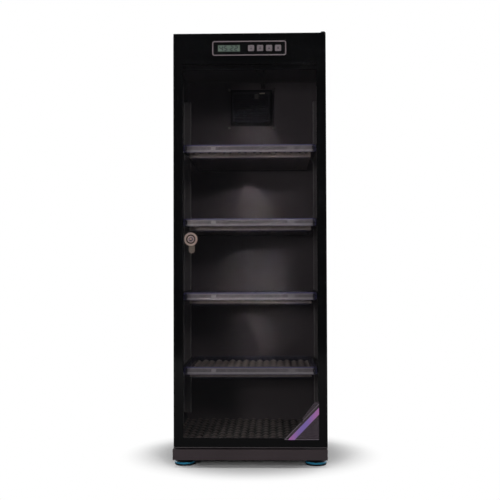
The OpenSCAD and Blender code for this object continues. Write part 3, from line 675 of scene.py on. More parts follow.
@dataclass(frozen=True)
class Film(Finish):
    """A smoke-grey corner film with one violet stripe along its slanted edge.

    Places across the film are shares of its width, counted from the slanted edge.
    """

    name: str
    low: tuple[float, float]
    high: tuple[float, float]
    slope: float = 1.03
    stripe_shares: tuple[float, float] = (0.098, 0.292)
    soft_share: float = 0.006
    edge_shares: tuple[float, float] = (0.006, 0.018)
    pink_middle_share: float = 0.55
    pink_shares: tuple[float, float] = (0.05, 0.45)
    low_edge: tuple[float, float] = (0.8 * MM, 2.0 * MM)
    pink: Colour = (0.5, 0.2, 0.5)
    violet: Colour = (0.27, 0.18, 0.52)
    smoke: Colour = (0.085, 0.066, 0.082)
    pale_smoke: Colour = (0.11, 0.085, 0.105)
    edge_colour: Colour = (0.2, 0.17, 0.2)
    cloud_scale: float = 60.0

    def mix(self) -> Shader:
        """Builds the nodes."""
        shader = Shader(self.name)
        (x0, z0), (x1, _) = self.low, self.high
        along = (shader.along(Axis.X) - x0) / (x1 - x0)
        up = shader.along(Axis.Z) - z0
        share = along - up / (self.slope * (x1 - x0))
        stripe = share.window(*self.stripe_shares, self.soft_share)
        violet_share = 1 - abs(along - self.pink_middle_share).ramp(*self.pink_shares)
        cloud = shader.noise(self.cloud_scale, 3.0)
        smoke = shader.blend(cloud, self.smoke, self.pale_smoke)
        edge = (1 - abs(share).ramp(*self.edge_shares)) + (1 - up.ramp(*self.low_edge))
        smoke = shader.blend(edge.least(1.0), smoke, self.edge_colour)
        shader.set(
            Base_Color=shader.blend(stripe, smoke, shader.blend(violet_share, self.pink, self.violet)),
            Roughness=0.34 + (cloud - 0.5) * 0.1,
            Alpha=0.55 + stripe * 0.4 + edge * 0.3,
            Specular_IOR_Level=0.3,
        )
        return shader


@dataclass(frozen=True)
class Screen(Finish):
    """A reflective liquid crystal display behind a clear front, with painted shade along its rim."""

    name: str
    colour: Colour
    low: tuple[float, float]
    high: tuple[float, float]
    rim: float = 2.0 * MM
    cloud_scale: float = 45.0
    grid_scale: float = 3000.0

    def mix(self) -> Shader:
        """Builds the nodes."""
        shader = Shader(self.name)
        cloud = shader.noise(self.cloud_scale, 3.0)
        grid = shader.noise(self.grid_scale, 1.0)
        (x0, z0), (x1, z1) = self.low, self.high
        half = self.rim / 2
        # Painted shade along the display's rim; the mask below is 1 inside it.
        lit = shader.along(Axis.X).window(x0 + half, x1 - half, half)
        lit = lit * shader.along(Axis.Z).window(z0 + half, z1 - half, half)
        colour = shader.blend(cloud, shade(self.colour, 0.8), shade(self.colour, 1.15))
        colour = shader.blend(lit, shade(self.colour, 0.12), colour)
        shader.set(
            Base_Color=shader.blend(grid.ramp(0.5, 0.8) * 0.25, colour, shade(self.colour, 0.75)),
            Roughness=0.22 + (grid - 0.5) * 0.08,
            Specular_IOR_Level=0.4,
        )
        return shader


BODY_PAINT = PowderCoat("body paint", (0.012, 0.012, 0.013), 0.42)
PLINTH_PAINT = PowderCoat("plinth paint", (0.052, 0.0405, 0.0445), 0.55, specular=0.25)
# The back panel is grey inside, and black on its outer face, which lies behind REAR_Y.
REAR_Y = Extent.of("back_panel").high.y - 0.5 * MM
INNER_PAINT = PowderCoat("inner paint", (0.12, 0.1, 0.1085), 0.5, specular=0.3, rear_y=REAR_Y)
FRAME_PAINT = PowderCoat("door frame paint", (0.008, 0.008, 0.009), 0.45)
# The face header wears a darker copy of the body paint, as painted shade.
SHADED_HEADER_PAINT = PowderCoat("shaded header paint", (0.004, 0.004, 0.0046), 0.5, specular=0.12)
LEDGE_PAINT = PowderCoat("ledge paint", (0.06, 0.051, 0.055), 0.4)
HINGE_PAINT = PowderCoat("hinge paint", (0.012, 0.012, 0.013), 0.35)
SCREW_STEEL = BrushedMetal("screw steel", (0.4, 0.37, 0.36), 0.35)
CAM_STEEL = BrushedMetal("cam steel", (0.6, 0.475, 0.405), 0.45, Axis.Z, metallic=0.6)
BEZEL_METAL = Moulded("panel frame metal", (0.185, 0.148, 0.16), 0.5)
BUTTON_METAL = Moulded("button metal", (0.182, 0.152, 0.164), 0.55)
RUNNER_PLASTIC = Moulded("runner plastic", (0.012, 0.012, 0.012), 0.4)
UNIT_PLASTIC = Moulded("unit plastic", (0.01, 0.01, 0.011), 0.5)
GRILLE_PLASTIC = Moulded("grille plastic", (0.03, 0.028, 0.036), 0.45)
INDICATOR_PLASTIC = Moulded("light bar", (0.42, 0.36, 0.3), 0.25)
SENSOR_PLASTIC = Moulded("sensor plastic", (0.11, 0.1, 0.1), 0.5)
CABLE_SLEEVE = Moulded("cable sleeve", (0.012, 0.011, 0.012), 0.35)
GLAND_PLASTIC = Moulded("gland plastic", (0.014, 0.014, 0.014), 0.5)
SEAL_RUBBER = Moulded("seal rubber", (0.01, 0.01, 0.01), 0.65)
FASCIA_PLASTIC = Moulded(
    "fascia plastic", (0.004, 0.004, 0.0045), 0.22, grain=0.01 * MM, specular=0.3
)
HOUSING_PLASTIC = Moulded("housing plastic", (0.02, 0.02, 0.022), 0.55)
SEGMENT_INK = Moulded("display segments", (0.004, 0.005, 0.012), 0.3)
SYMBOL_INK = Moulded("button symbols", (0.05, 0.042, 0.048), 0.5)
FOOT_RUBBER = Moulded("foot rubber", (0.01, 0.01, 0.011), 0.6, grain=0.08 * MM)
FOOT_RING = Moulded("foot ring", (0.035, 0.28, 0.46), 0.3)
BRASS = BrushedMetal("key way brass", (0.62, 0.36, 0.2), 0.35, Axis.Y, metallic=0.7)
MAT_FOAM = (0.2, 0.165, 0.155)


# Modelling steps


class Bench:
    """Modelling steps that every sub-assembly uses."""

    @staticmethod
    def clear() -> None:
        """Object mode, with nothing selected."""
        if bpy.context.object is not None and bpy.context.object.mode != "OBJECT":
            bpy.ops.object.mode_set(mode="OBJECT")
        bpy.ops.object.select_all(action="DESELECT")

    @staticmethod
    def only(obj: bpy.types.Object) -> None:
        """Selects one object alone and makes it active."""
        Bench.clear()
        obj.select_set(True)
        bpy.context.view_layer.objects.active = obj

    @staticmethod
    def settle(obj: bpy.types.Object) -> bpy.types.Object:
        """Moves an object's place, turn and size into its mesh."""
        Bench.only(obj)
        bpy.ops.object.transform_apply(location=True, rotation=True, scale=True)
        return obj

    @staticmethod
    @contextmanager
    def editing(obj: bpy.types.Object, kind: str = "FACE") -> Iterator[None]:
        """Edit mode on one object, with nothing selected.

        Args:
            obj: the mesh to edit.
            kind: what is selected, VERT, EDGE or FACE.
        """
        Bench.only(obj)
        bpy.ops.object.mode_set(mode="EDIT")
        bpy.ops.mesh.select_mode(type=kind)
        bpy.ops.mesh.select_all(action="DESELECT")
        yield
        bpy.ops.object.mode_set(mode="OBJECT")

    @staticmethod
    def pick_faces(obj: bpy.types.Object, test: Callable[[Vector], bool]) -> None:
        """Selects faces by their normal, in edit mode.

        Args:
            obj: the mesh in edit mode.
            test: takes a face's normal.
        """
        mesh = bmesh.from_edit_mesh(obj.data)
        mesh.normal_update()
        for face in mesh.faces:
            face.select_set(test(face.normal))
        bmesh.update_edit_mesh(obj.data)

    @staticmethod
    def pick_edges(obj: bpy.types.Object, test: Callable[[Vector, Vector], bool]) -> None:
        """Selects edges by their two ends, in edit mode.

        Args:
            obj: the mesh in edit mode.
            test: takes the edge's two ends.
        """
        mesh = bmesh.from_edit_mesh(obj.data)
        for edge in mesh.edges:
            edge.select_set(test(edge.verts[0].co, edge.verts[1].co))
        bmesh.update_edit_mesh(obj.data)

    @staticmethod
    def block(name: str, low: Sequence[float], high: Sequence[float]) -> bpy.types.Object:
        """A box to start a piece from, between two corners."""
        Bench.clear()
        low, high = Vector(low), Vector(high)
        bpy.ops.mesh.primitive_cube_add(size=1.0, location=(low + high) / 2)
        obj = bpy.context.object
        obj.name = name
        obj.scale = high - low
        return Bench.settle(obj)

    @staticmethod
    def drum(
        name: str, centre: Sequence[float], radius: float, depth: float, axis: Axis, sides: int = 48
    ) -> bpy.types.Object:
        """A round bar to start a piece from.

        Args:
            name: the bar's name.
            centre: its middle.
            radius: its radius, in metres.
            depth: its length, in metres.
            axis: the axis that it lies along.
            sides: how many flats it is made of.

        Returns:
            The bar.
        """
        Bench.clear()
        quarter = math.pi / 2
        turn = {Axis.X: (0.0, quarter, 0.0), Axis.Y: (quarter, 0.0, 0.0), Axis.Z: (0.0, 0.0, 0.0)}[axis]
        bpy.ops.mesh.primitive_cylinder_add(
            vertices=sides, radius=radius, depth=depth, location=centre, rotation=turn
        )
        obj = bpy.context.object
        obj.name = name
        return Bench.settle(obj)

    @staticmethod
    def modify(obj: bpy.types.Object, kind: str, **settings: object) -> bpy.types.Object:
        """Adds one modifier with its settings and applies it."""
        Bench.only(obj)
        modifier = obj.modifiers.new("step", kind)
        for key, value in settings.items():
            setattr(modifier, key, value)
        bpy.ops.object.modifier_apply(modifier=modifier.name)
        return obj

    @staticmethod
    def round_edges(
        obj: bpy.types.Object, width: float, segments: int = 2, angle: float = 30.0
    ) -> bpy.types.Object:
        """Rounds every edge sharper than an angle, then smooths the shading.

        Args:
            obj: the mesh.
            width: the rounding's width, in metres.
            segments: the rounding's steps.
            angle: the angle, in degrees.

        Returns:
            The same mesh.
        """
        Bench.modify(
            obj, "BEVEL", width=width, segments=segments, limit_method="ANGLE",
            angle_limit=math.radians(angle), use_clamp_overlap=True, miter_outer="MITER_ARC",
        )
        return Bench.smooth(obj)

    @staticmethod
    def smooth(obj: bpy.types.Object, angle: float = 35.0) -> bpy.types.Object:
        """Smooth shading over edges flatter than an angle, with flat faces kept flat."""
        Bench.only(obj)
        bpy.ops.object.shade_smooth_by_angle(angle=math.radians(angle))
        return Bench.modify(obj, "WEIGHTED_NORMAL", keep_sharp=True, weight=100)

    @staticmethod
    def outward(obj: bpy.types.Object) -> None:
        """Merges points that lie together and turns all faces outward."""
        with Bench.editing(obj, "VERT"):
            bpy.ops.mesh.select_all(action="SELECT")
            bpy.ops.mesh.remove_doubles(threshold=MERGE)
            bpy.ops.mesh.normals_make_consistent(inside=False)

    @staticmethod
    def combine(
        obj: bpy.types.Object, other: bpy.types.Object, operation: str
    ) -> bpy.types.Object:
        """Joins two closed shapes, or cuts one with the other.

        Args:
            obj: the shape that stays.
            other: the shape that is used up.
            operation: UNION or DIFFERENCE.

        Returns:
            The first shape, changed.
        """
        Bench.modify(obj, "BOOLEAN", object=other, operation=operation, solver="EXACT")
        bpy.data.objects.remove(other, do_unlink=True)
        return obj

    @staticmethod
    def join(name: str, parts: Sequence[bpy.types.Object]) -> bpy.types.Object:
        """Joins several meshes into one object."""
        Bench.clear()
        for part in parts:
            part.select_set(True)
        bpy.context.view_layer.objects.active = parts[0]
        bpy.ops.object.join()
        parts[0].name = name
        return parts[0]

    @staticmethod
    def copy_to(obj: bpy.types.Object, name: str, shift: Sequence[float]) -> bpy.types.Object:
        """A copy with its own mesh, moved by a step."""
        twin = obj.copy()
        twin.data = obj.data.copy()
        twin.name = name
        bpy.context.scene.collection.objects.link(twin)
        twin.data.transform(Matrix.Translation(Vector(shift)))
        return twin

    @staticmethod
    def copy_of_node(node: str, name: str) -> bpy.types.Object:
        """A merged copy of a CAD node's mesh, with its flat faces whole again."""
        mesh = NODES[node].data.copy()
        obj = bpy.data.objects.new(name, mesh)
        bpy.context.scene.collection.objects.link(obj)
        with Bench.editing(obj, "VERT"):
            bpy.ops.mesh.select_all(action="SELECT")
            bpy.ops.mesh.remove_doubles(threshold=MERGE)
            bpy.ops.mesh.dissolve_limited(angle_limit=math.radians(FLAT_ANGLE))
        return obj

    @staticmethod
    def dress(obj: bpy.types.Object, finish: Finish) -> None:
        """Gives a piece one finish all over."""
        obj.data.materials.clear()
        obj.data.materials.append(finish.material())

    @staticmethod
    def stand_for(obj: bpy.types.Object, finish: Finish, *nodes: str) -> None:
        """Dresses a piece and puts it in the place of CAD nodes of one body.

        Args:
            obj: the piece.
            finish: its finish.
            nodes: the CAD nodes that it replaces.
        """
        Bench.dress(obj, finish)
        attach(obj, BODY_OF[nodes[0]])
        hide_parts(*nodes)
        log.info("%s stands for %s", obj.name, ", ".join(nodes))

    @staticmethod
    def add_to(obj: bpy.types.Object, finish: Finish, node: str) -> None:
        """Dresses a piece that sits on a CAD node and moves with it.

        Args:
            obj: the piece.
            finish: its finish.
            node: the CAD node that it sits on.
        """
        Bench.dress(obj, finish)
        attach(obj, BODY_OF[node])
        log.info("%s sits on %s", obj.name, node)


def edge_rounded(node: str, finish: Finish, width: float, segments: int = 2) -> None:
    """Puts a copy with rounded edges in the place of a rigid CAD node.

    Args:
        node: the CAD node.
        finish: its finish.
        width: the rounding's width, in metres.
        segments: the rounding's steps.
    """
    obj = Bench.copy_of_node(node, f"{node}_edged")
    Bench.round_edges(obj, width, segments)
    Bench.stand_for(obj, finish, node)


# Sub-assemblies


@dataclass
class Casing:
    """The plinth, the sheet-steel body, the face frame and the hinge plates."""

    panel_edge: float = 0.4 * MM
    plinth_edge: float = 1.2 * MM
    hinge_edge: float = 0.5 * MM

    def build(self) -> None:
        """Builds the casing's pieces."""
        for node in ("plinth_front", "plinth_rear", "plinth_sides"):
            edge_rounded(node, PLINTH_PAINT, self.plinth_edge, segments=3)
        for node in ("side_panel_left", "side_panel_right", "top_panel"):
            edge_rounded(node, BODY_PAINT, self.panel_edge)
        for node in ("face_stile_left", "face_stile_right", "face_sill"):
            edge_rounded(node, BODY_PAINT, self.panel_edge)
        edge_rounded("face_header", SHADED_HEADER_PAINT, self.panel_edge)
        for node in ("back_panel", "floor_panel", "ceiling_panel"):
            edge_rounded(node, INNER_PAINT, self.panel_edge)
        edge_rounded("hinge_brackets", HINGE_PAINT, self.hinge_edge)
        edge_rounded("screws", SCREW_STEEL, self.panel_edge, segments=3)
        edge_rounded("cable_gland", GLAND_PLASTIC, self.hinge_edge)
        edge_rounded("rear_vent_cover", GLAND_PLASTIC, self.panel_edge)


@dataclass
class Door:
    """The glass, its frame, the seal and the corner film."""

    frame_edge: float = 0.8 * MM
    glass_edge: float = 0.6 * MM
    border_left: float = 24.3 * MM
    border_right: float = 24.1 * MM
    border_low: float = 21.9 * MM
    border_high: float = 77.4 * MM

    def build(self) -> None:
        """Builds the door's pieces."""
        for node in ("door_stile_left", "door_stile_right", "door_rail_top"):
            edge_rounded(node, FRAME_PAINT, self.frame_edge)
        edge_rounded("door_rail_bottom", LEDGE_PAINT, self.frame_edge)
        glass = Extent.of("door_glass")
        finish = DoorGlass(
            "door glass",
            (glass.low.x + self.border_left, glass.low.z + self.border_low),
            (glass.high.x - self.border_right, glass.high.z - self.border_high),
        )
        edge_rounded("door_glass", finish, self.glass_edge, segments=3)
        label = Extent.of("corner_label")
        film = Film("corner film", (label.low.x, label.low.z), (label.high.x, label.high.z))
        # The label is a flat film as it is, so its own solid stays and is only dressed.
        Bench.dress(NODES["corner_label"], film)
        edge_rounded("door_seal", SEAL_RUBBER, self.frame_edge, segments=3)


@dataclass
class ControlPanel:
    """The bright frame, the fascia, the display with its numbers and the four buttons."""

    edge: float = 0.35 * MM
    bezel_edge: float = 1.05 * MM
    button_edge: float = 1.4 * MM
    buttons: int = 4
    digit_h: float = 11.6 * MM
    digit_w: float = 7.0 * MM
    digit_step: float = 11.4 * MM
    stroke: float = 2.6 * MM
    gap_share: float = 0.25
    tip_share: float = 0.45
    ink_t: float = 0.12 * MM
    numbers: tuple[str, ...] = ("45", "22")
    number_shares: tuple[float, ...] = (0.25, 0.72)
    symbol_s: float = 6.0 * MM
    lcd_colour: Colour = (0.13, 0.17, 0.138)

    # A digit's bars are a to f, clockwise from the top one, and g across the middle.
    SEGMENTS: ClassVar[dict[str, str]] = {"2": "abged", "4": "fgbc", "5": "afgcd"}

    def build(self) -> None:
        """Builds the panel's pieces."""
        edge_rounded("control_bezel", BEZEL_METAL, self.bezel_edge, segments=4)
        edge_rounded("control_fascia", FASCIA_PLASTIC, self.edge)
        edge_rounded("control_housing", HOUSING_PLASTIC, self.edge)
        glass = Extent.of("lcd")
        corners = (glass.low.x, glass.low.z), (glass.high.x, glass.high.z)
        edge_rounded("lcd", Screen("display", self.lcd_colour, *corners), self.edge / 2)
        self.write_numbers()
        for count in range(1, self.buttons + 1):
            edge_rounded(f"button_{count}", BUTTON_METAL, self.button_edge, segments=4)
            self.mark_button(count)

    def stroke_bar(self, centre: Vector, length: float, upright: bool) -> bpy.types.Object:
        """One bar of a number or a sign.

        Args:
            centre: its middle.
            length: its length, in metres.
            upright: whether it stands along Z, and not along X.

        Returns:
            The bar, with pointed ends.
        """
        half = length / 2
        side = self.stroke / 2
        half_x, half_z = (side, half) if upright else (half, side)
        reach = Vector((half_x, self.ink_t / 2, half_z))
        bar = Bench.block("bar", centre - reach, centre + reach)
        with Bench.editing(bar, "EDGE"):
            Bench.pick_edges(bar, lambda a, b: abs(a.x - b.x) < SAME and abs(a.z - b.z) < SAME)
            bpy.ops.mesh.bevel(offset=self.tip_share * self.stroke, segments=1)
        return bar

    def digit(self, mark: str, centre: Vector) -> list[bpy.types.Object]:
        """The bars of one digit.

        Args:
            mark: the digit.
            centre: its middle.

        Returns:
            Its bars.
        """
        half_w = self.digit_w / 2
        half_h = self.digit_h / 2
        long = half_h - self.gap_share * self.stroke
        wide = self.digit_w - 2 * self.gap_share * self.stroke
        places = {
            "a": (0.0, half_h, wide, False),
            "b": (half_w, half_h / 2, long, True),
            "c": (half_w, -half_h / 2, long, True),
            "d": (0.0, -half_h, wide, False),
            "e": (-half_w, -half_h / 2, long, True),
            "f": (-half_w, half_h / 2, long, True),
            "g": (0.0, 0.0, wide, False),
        }
        bars = []
        for name in self.SEGMENTS[mark]:
            dx, dz, length, upright = places[name]
            bars.append(self.stroke_bar(centre + Vector((dx, 0.0, dz)), length, upright))
        return bars

    def write_numbers(self) -> None:
        """Puts plain numbers on the display."""
        screen = Extent.of("lcd")
        bars = []
        for number, share in zip(self.numbers, self.number_shares):
            middle = screen.low.x + share * screen.size.x
            for index, mark in enumerate(number):
                x = middle + (index - (len(number) - 1) / 2) * self.digit_step
                bars += self.digit(mark, Vector((x, screen.low.y - self.ink_t / 2, screen.centre.z)))
        ink = Bench.join("display_numbers", bars)
        Bench.add_to(ink, SEGMENT_INK, "lcd")

    def mark_button(self, count: int) -> None:
        """Puts a plain sign on a button: a few bars that differ from one button to the next."""
        cap = Extent.of(f"button_{count}")
        centre = Vector((cap.centre.x, cap.low.y - self.ink_t / 4, cap.centre.z))
        long = self.symbol_s
        short = self.symbol_s / 2
        high = centre + Vector((0.0, 0.0, short))
        middle = centre + Vector((0.0, 0.0, short / 2))
        low = centre - Vector((0.0, 0.0, short / 2))
        bars = [self.stroke_bar(low, long, False)]
        if count in (1, 2):
            bars.append(self.stroke_bar(high, short, False))
        if count in (2, 3):
            bars.append(self.stroke_bar(middle, short, True))
        if count == 4:
            bars.append(self.stroke_bar(middle, long, False))
        sign = Bench.join(f"button_sign_{count}", bars)
        Bench.add_to(sign, SYMBOL_INK, f"button_{count}")


@dataclass
class Lock:
    """The rim with its sunk groove, the turning core with its key way, the nut and the cam."""

    edge: float = 0.5 * MM
    sides: int = 64
    rim_edge: float = 0.6 * MM
    rim_w: float = 4.7 * MM
    groove_w: float = 2.9 * MM
    groove_d: float = 2.2 * MM
    slope: float = 0.5 * MM
    cap_t: float = 4.0 * MM
    barrel_r: float = 9.0 * MM
    bore_r: float = 7.1 * MM
    way: tuple[float, float, float] = (1.9 * MM, 0.5 * MM, 7.0 * MM)
    way_in: float = 1.2 * MM
    way_edge: float = 0.1 * MM
    way_share: float = 0.3
    # Radii of the rim's and the core's sunk rings, where painted shade darkens the metal.
    rim_groove_shade: tuple[float, float] = (8.6 * MM, 12.4 * MM)
    core_groove_shade: tuple[float, float] = (3.6 * MM, 5.2 * MM)
    rim_colour: Colour = (0.54, 0.4, 0.36)
    core_colour: Colour = (0.52, 0.44, 0.49)

    def build(self) -> None:
        """Builds the lock's pieces."""
        ring = Extent.of("lock_body")
        place = (ring.centre.x, ring.centre.z)
        rim_steel = TurnedMetal(
            "lock rim steel", self.rim_colour, *place, roughness=0.42, sunk=self.rim_groove_shade
        )
        core_steel = TurnedMetal(
            "lock core steel", self.core_colour, *place, roughness=0.26, sunk=self.core_groove_shade
        )
        Bench.stand_for(self.rim(ring), rim_steel, "lock_body")
        edge_rounded("lock_core", core_steel, self.edge, segments=3)
        edge_rounded("lock_nut", CAM_STEEL, self.edge)
        edge_rounded("lock_cam", CAM_STEEL, self.edge)
        self.key_way()

    def rim(self, box: Extent) -> bpy.types.Object:
        """The body: a cap whose face is sunk between its rim and its collar, with the barrel behind."""
        middle = Vector((box.centre.x, box.low.y + self.cap_t / 2, box.centre.z))
        cap = Bench.drum("lock_body_turned", middle, box.size.x / 2, self.cap_t, Axis.Y, self.sides)
        with Bench.editing(cap):
            Bench.pick_faces(cap, lambda normal: normal.y < -FACING)
            bpy.ops.mesh.inset(thickness=self.rim_w, depth=0.0)
            bpy.ops.mesh.inset(thickness=self.slope, depth=-self.groove_d)
            bpy.ops.mesh.inset(thickness=self.groove_w, depth=0.0)
            bpy.ops.mesh.inset(thickness=self.slope, depth=self.groove_d)
        length = box.high.y - middle.y
        along = Vector((middle.x, middle.y + length / 2, middle.z))
        barrel = Bench.drum("barrel", along, self.barrel_r, length, Axis.Y)
        cap = Bench.combine(cap, barrel, "UNION")
        bore = Bench.drum("bore", box.centre, self.bore_r, 2 * box.size.y, Axis.Y)
        cap = Bench.combine(cap, bore, "DIFFERENCE")
        Bench.outward(cap)
        return Bench.round_edges(cap, self.rim_edge, segments=4)

    def key_way(self) -> None:
        """The brass wafer that shows in the slot."""
        box = Extent.of("lock_core")
        half = Vector(self.way) / 2
        centre = Vector((box.centre.x, box.low.y + self.way_in, box.centre.z))
        wafer = Bench.block("lock_key_wafer", centre - half, centre + half)
        with Bench.editing(wafer):
            Bench.pick_faces(wafer, lambda normal: normal.y < -FACING)
            width, depth, _ = self.way
            bpy.ops.mesh.inset(thickness=self.way_share * width, depth=-self.way_share * depth)
        Bench.round_edges(wafer, self.way_edge)
        Bench.add_to(wafer, BRASS, "lock_core")


@dataclass
class Trays:
    """Four clear trays with rounded tubs and channelled lips, each with its egg-crate pad."""

    count: int = 4
    wall: float = 2.5 * MM
    lip_t: float = 3.0 * MM
    lip_h: float = 20.0 * MM
    shelf_d: float = 32.0 * MM
    rim_w: float = 10.0 * MM
    rim_down: float = 3.0 * MM
    tub_r: float = 11.0 * MM
    lip_r: float = 5.0 * MM
    flange_r: float = 1.25 * MM
    keel_r: float = 3.0 * MM
    band: float = 4.6 * MM
    channel_d: float = 1.3 * MM
    channel_slope: float = 0.6 * MM
    edge: float = 0.5 * MM
    edge_angle: float = 40.0

    def build(self) -> None:
        """Builds the trays and their pads."""
        first = Extent.of("tray_1")
        model = self.tray(first)
        for index in range(1, self.count + 1):
            box = Extent.of(f"tray_{index}")
            name = f"tray_{index}_moulding"
            piece = model if index == 1 else Bench.copy_to(model, name, box.low - first.low)
            piece.name = name
            finish = ClearTray(
                f"clear styrene {index}", half_w=box.size.x / 2, lip_front=box.low.y,
                shelf_y=box.low.y + self.shelf_d, low_z=box.low.z, top_z=box.high.z, lip_h=self.lip_h,
            )
            Bench.stand_for(piece, finish, f"tray_{index}")
            EggCrate(f"tray_foam_{index}").build()

    def rounded_block(
        self, name: str, low: Vector, high: Vector, axis: Axis, radius: float, segments: int = 5
    ) -> bpy.types.Object:
        """A block whose four edges along one axis are rounded.

        Args:
            name: the block's name.
            low: its low corner.
            high: its high corner.
            axis: the axis that the rounded edges follow.
            radius: the rounding's radius, in metres.
            segments: the rounding's steps.

        Returns:
            The block.
        """
        obj = Bench.block(name, low, high)
        others = [a.value for a in Axis if a is not axis]
        with Bench.editing(obj, "EDGE"):
            Bench.pick_edges(obj, lambda a, b: all(abs(a[i] - b[i]) < SAME for i in others))
            bpy.ops.mesh.bevel(offset=radius, segments=segments)
        return obj

    def lip(self, box: Extent) -> bpy.types.Object:
        """The pull lip: a rounded bar with a long shallow channel in its face."""
        top = box.high.z
        low = Vector((box.low.x, box.low.y, top - self.lip_h))
        high = Vector((box.high.x, box.low.y + self.lip_t, top))
        bar = self.rounded_block("lip", low, high, Axis.Y, self.lip_r, segments=6)
        with Bench.editing(bar):
            Bench.pick_faces(bar, lambda normal: normal.y < -FACING)
            bpy.ops.mesh.inset(thickness=self.band, depth=0.0)
            bpy.ops.mesh.inset(thickness=self.channel_slope, depth=-self.channel_d)
        return bar

    def tray(self, box: Extent) -> bpy.types.Object:
        """One tray: the flange and tub in one wall, with the lip along its front."""
        top = box.high.z - self.rim_down
        tub_low = Vector((box.low.x + self.rim_w, box.low.y + self.shelf_d, box.low.z))
        tub_high = Vector((box.high.x - self.rim_w, box.high.y, top))
        tub = self.rounded_block("tub", tub_low, tub_high, Axis.Z, self.tub_r)
        with Bench.editing(tub):
            Bench.pick_faces(tub, lambda normal: normal.z < -FACING)
            bpy.ops.mesh.region_to_loop()
            bpy.ops.mesh.bevel(offset=self.keel_r, segments=3)
        flange_low = Vector((box.low.x, box.low.y + self.lip_t / 2, top - self.wall))
        flange_high = Vector((box.high.x, box.high.y, top))
        flange = self.rounded_block(
            "flange", flange_low, flange_high, Axis.Z, self.flange_r, segments=3
        )
        inside_low = tub_low + Vector((self.wall, self.wall, self.wall))
        inside_high = tub_high - Vector((self.wall, self.wall, -self.wall))
        inside = self.rounded_block("inside", inside_low, inside_high, Axis.Z, self.tub_r - self.wall)
        tray = Bench.combine(tub, flange, "UNION")
        tray = Bench.combine(tray, self.lip(box), "UNION")
        tray = Bench.combine(tray, inside, "DIFFERENCE")
        Bench.outward(tray)
        return Bench.round_edges(tray, self.edge, angle=self.edge_angle)


@dataclass
class EggCrate:
    """A foam pad with rounded peaks and valleys, in the place of a CAD pad.

    The peaks vary a little: a slow wave across the pad raises some and lowers others.
    """

    node: str
    step: float = 20.0 * MM
    fine: int = 7
    base: float = 6.0 * MM
    wave: float = 12.0 * MM
    height_share: float = 0.94
    vary_share: float = 0.06
    vary_rates: tuple[float, float] = (0.37, 0.29)
    vary_starts: tuple[float, float] = (1.3, 0.7)
    smooth_angle: float = 50.0
    colour: Colour = (0.45, 0.37, 0.34)
    # How dark the painted shade in the foam's valleys is.
    deep: float = 0.8

    def height(self, u: float, v: float) -> float:
        """How far the surface lies above its middle at two angles along the pad, in metres."""
        rate_u, rate_v = self.vary_rates
        start_u, start_v = self.vary_starts
        vary = self.vary_share * math.sin(u * rate_u + start_u) * math.sin(v * rate_v + start_v)
        return self.wave / 2 * (math.cos(u) * math.cos(v) * (self.height_share + vary))

    def build(self) -> None:
        """Builds the pad and puts it in the node's place."""
        box = Extent.of(self.node)
        middle_z = box.low.z + self.base + self.wave / 2
        nx = max(2, round(box.size.x / self.step))
        ny = max(2, round(box.size.y / self.step))
        Bench.clear()
        bpy.ops.mesh.primitive_grid_add(
            x_subdivisions=nx * self.fine, y_subdivisions=ny * self.fine, size=1.0,
            location=(box.centre.x, box.centre.y, middle_z),
        )
        pad = bpy.context.object
        pad.name = f"{self.node}_pad"
        pad.scale = (box.size.x, box.size.y, 1.0)
        Bench.settle(pad)
        for vertex in pad.data.vertices:
            u = (vertex.co.x - box.low.x) / box.size.x * nx * math.pi
            v = (vertex.co.y - box.low.y) / box.size.y * ny * math.pi
            vertex.co.z = middle_z + self.height(u, v)
        with Bench.editing(pad, "EDGE"):
            bpy.ops.mesh.select_all(action="SELECT")
            bpy.ops.mesh.region_to_loop()
            bpy.ops.mesh.extrude_edges_move(TRANSFORM_OT_translate={"value": (0.0, 0.0, -self.base)})
            mesh = bmesh.from_edit_mesh(pad.data)
            for vertex in mesh.verts:
                if vertex.select:
                    vertex.co.z = box.low.z
            bmesh.update_edit_mesh(pad.data)
            bpy.ops.mesh.edge_face_add()
        Bench.outward(pad)
        Bench.smooth(pad, self.smooth_angle)
        finish = Foam(f"{self.node} foam", self.colour, box.low.z + self.base, self.deep)
        Bench.stand_for(pad, finish, self.node)


@dataclass
class Supports:
    """The slotted uprights and the runners that hook into them."""

    edge: float = 0.25 * MM
    depth: float = 20.0 * MM
    colour: Colour = (0.15, 0.136, 0.138)

    def build(self) -> None:
        """Builds the supports' pieces."""
        box = Extent.of("uprights")
        steel = EdgedSteel("upright paint", self.colour, box.high.x - self.depth, box.high.x)
        edge_rounded("uprights", steel, self.edge)
        edge_rounded("runners", RUNNER_PLASTIC, self.edge)


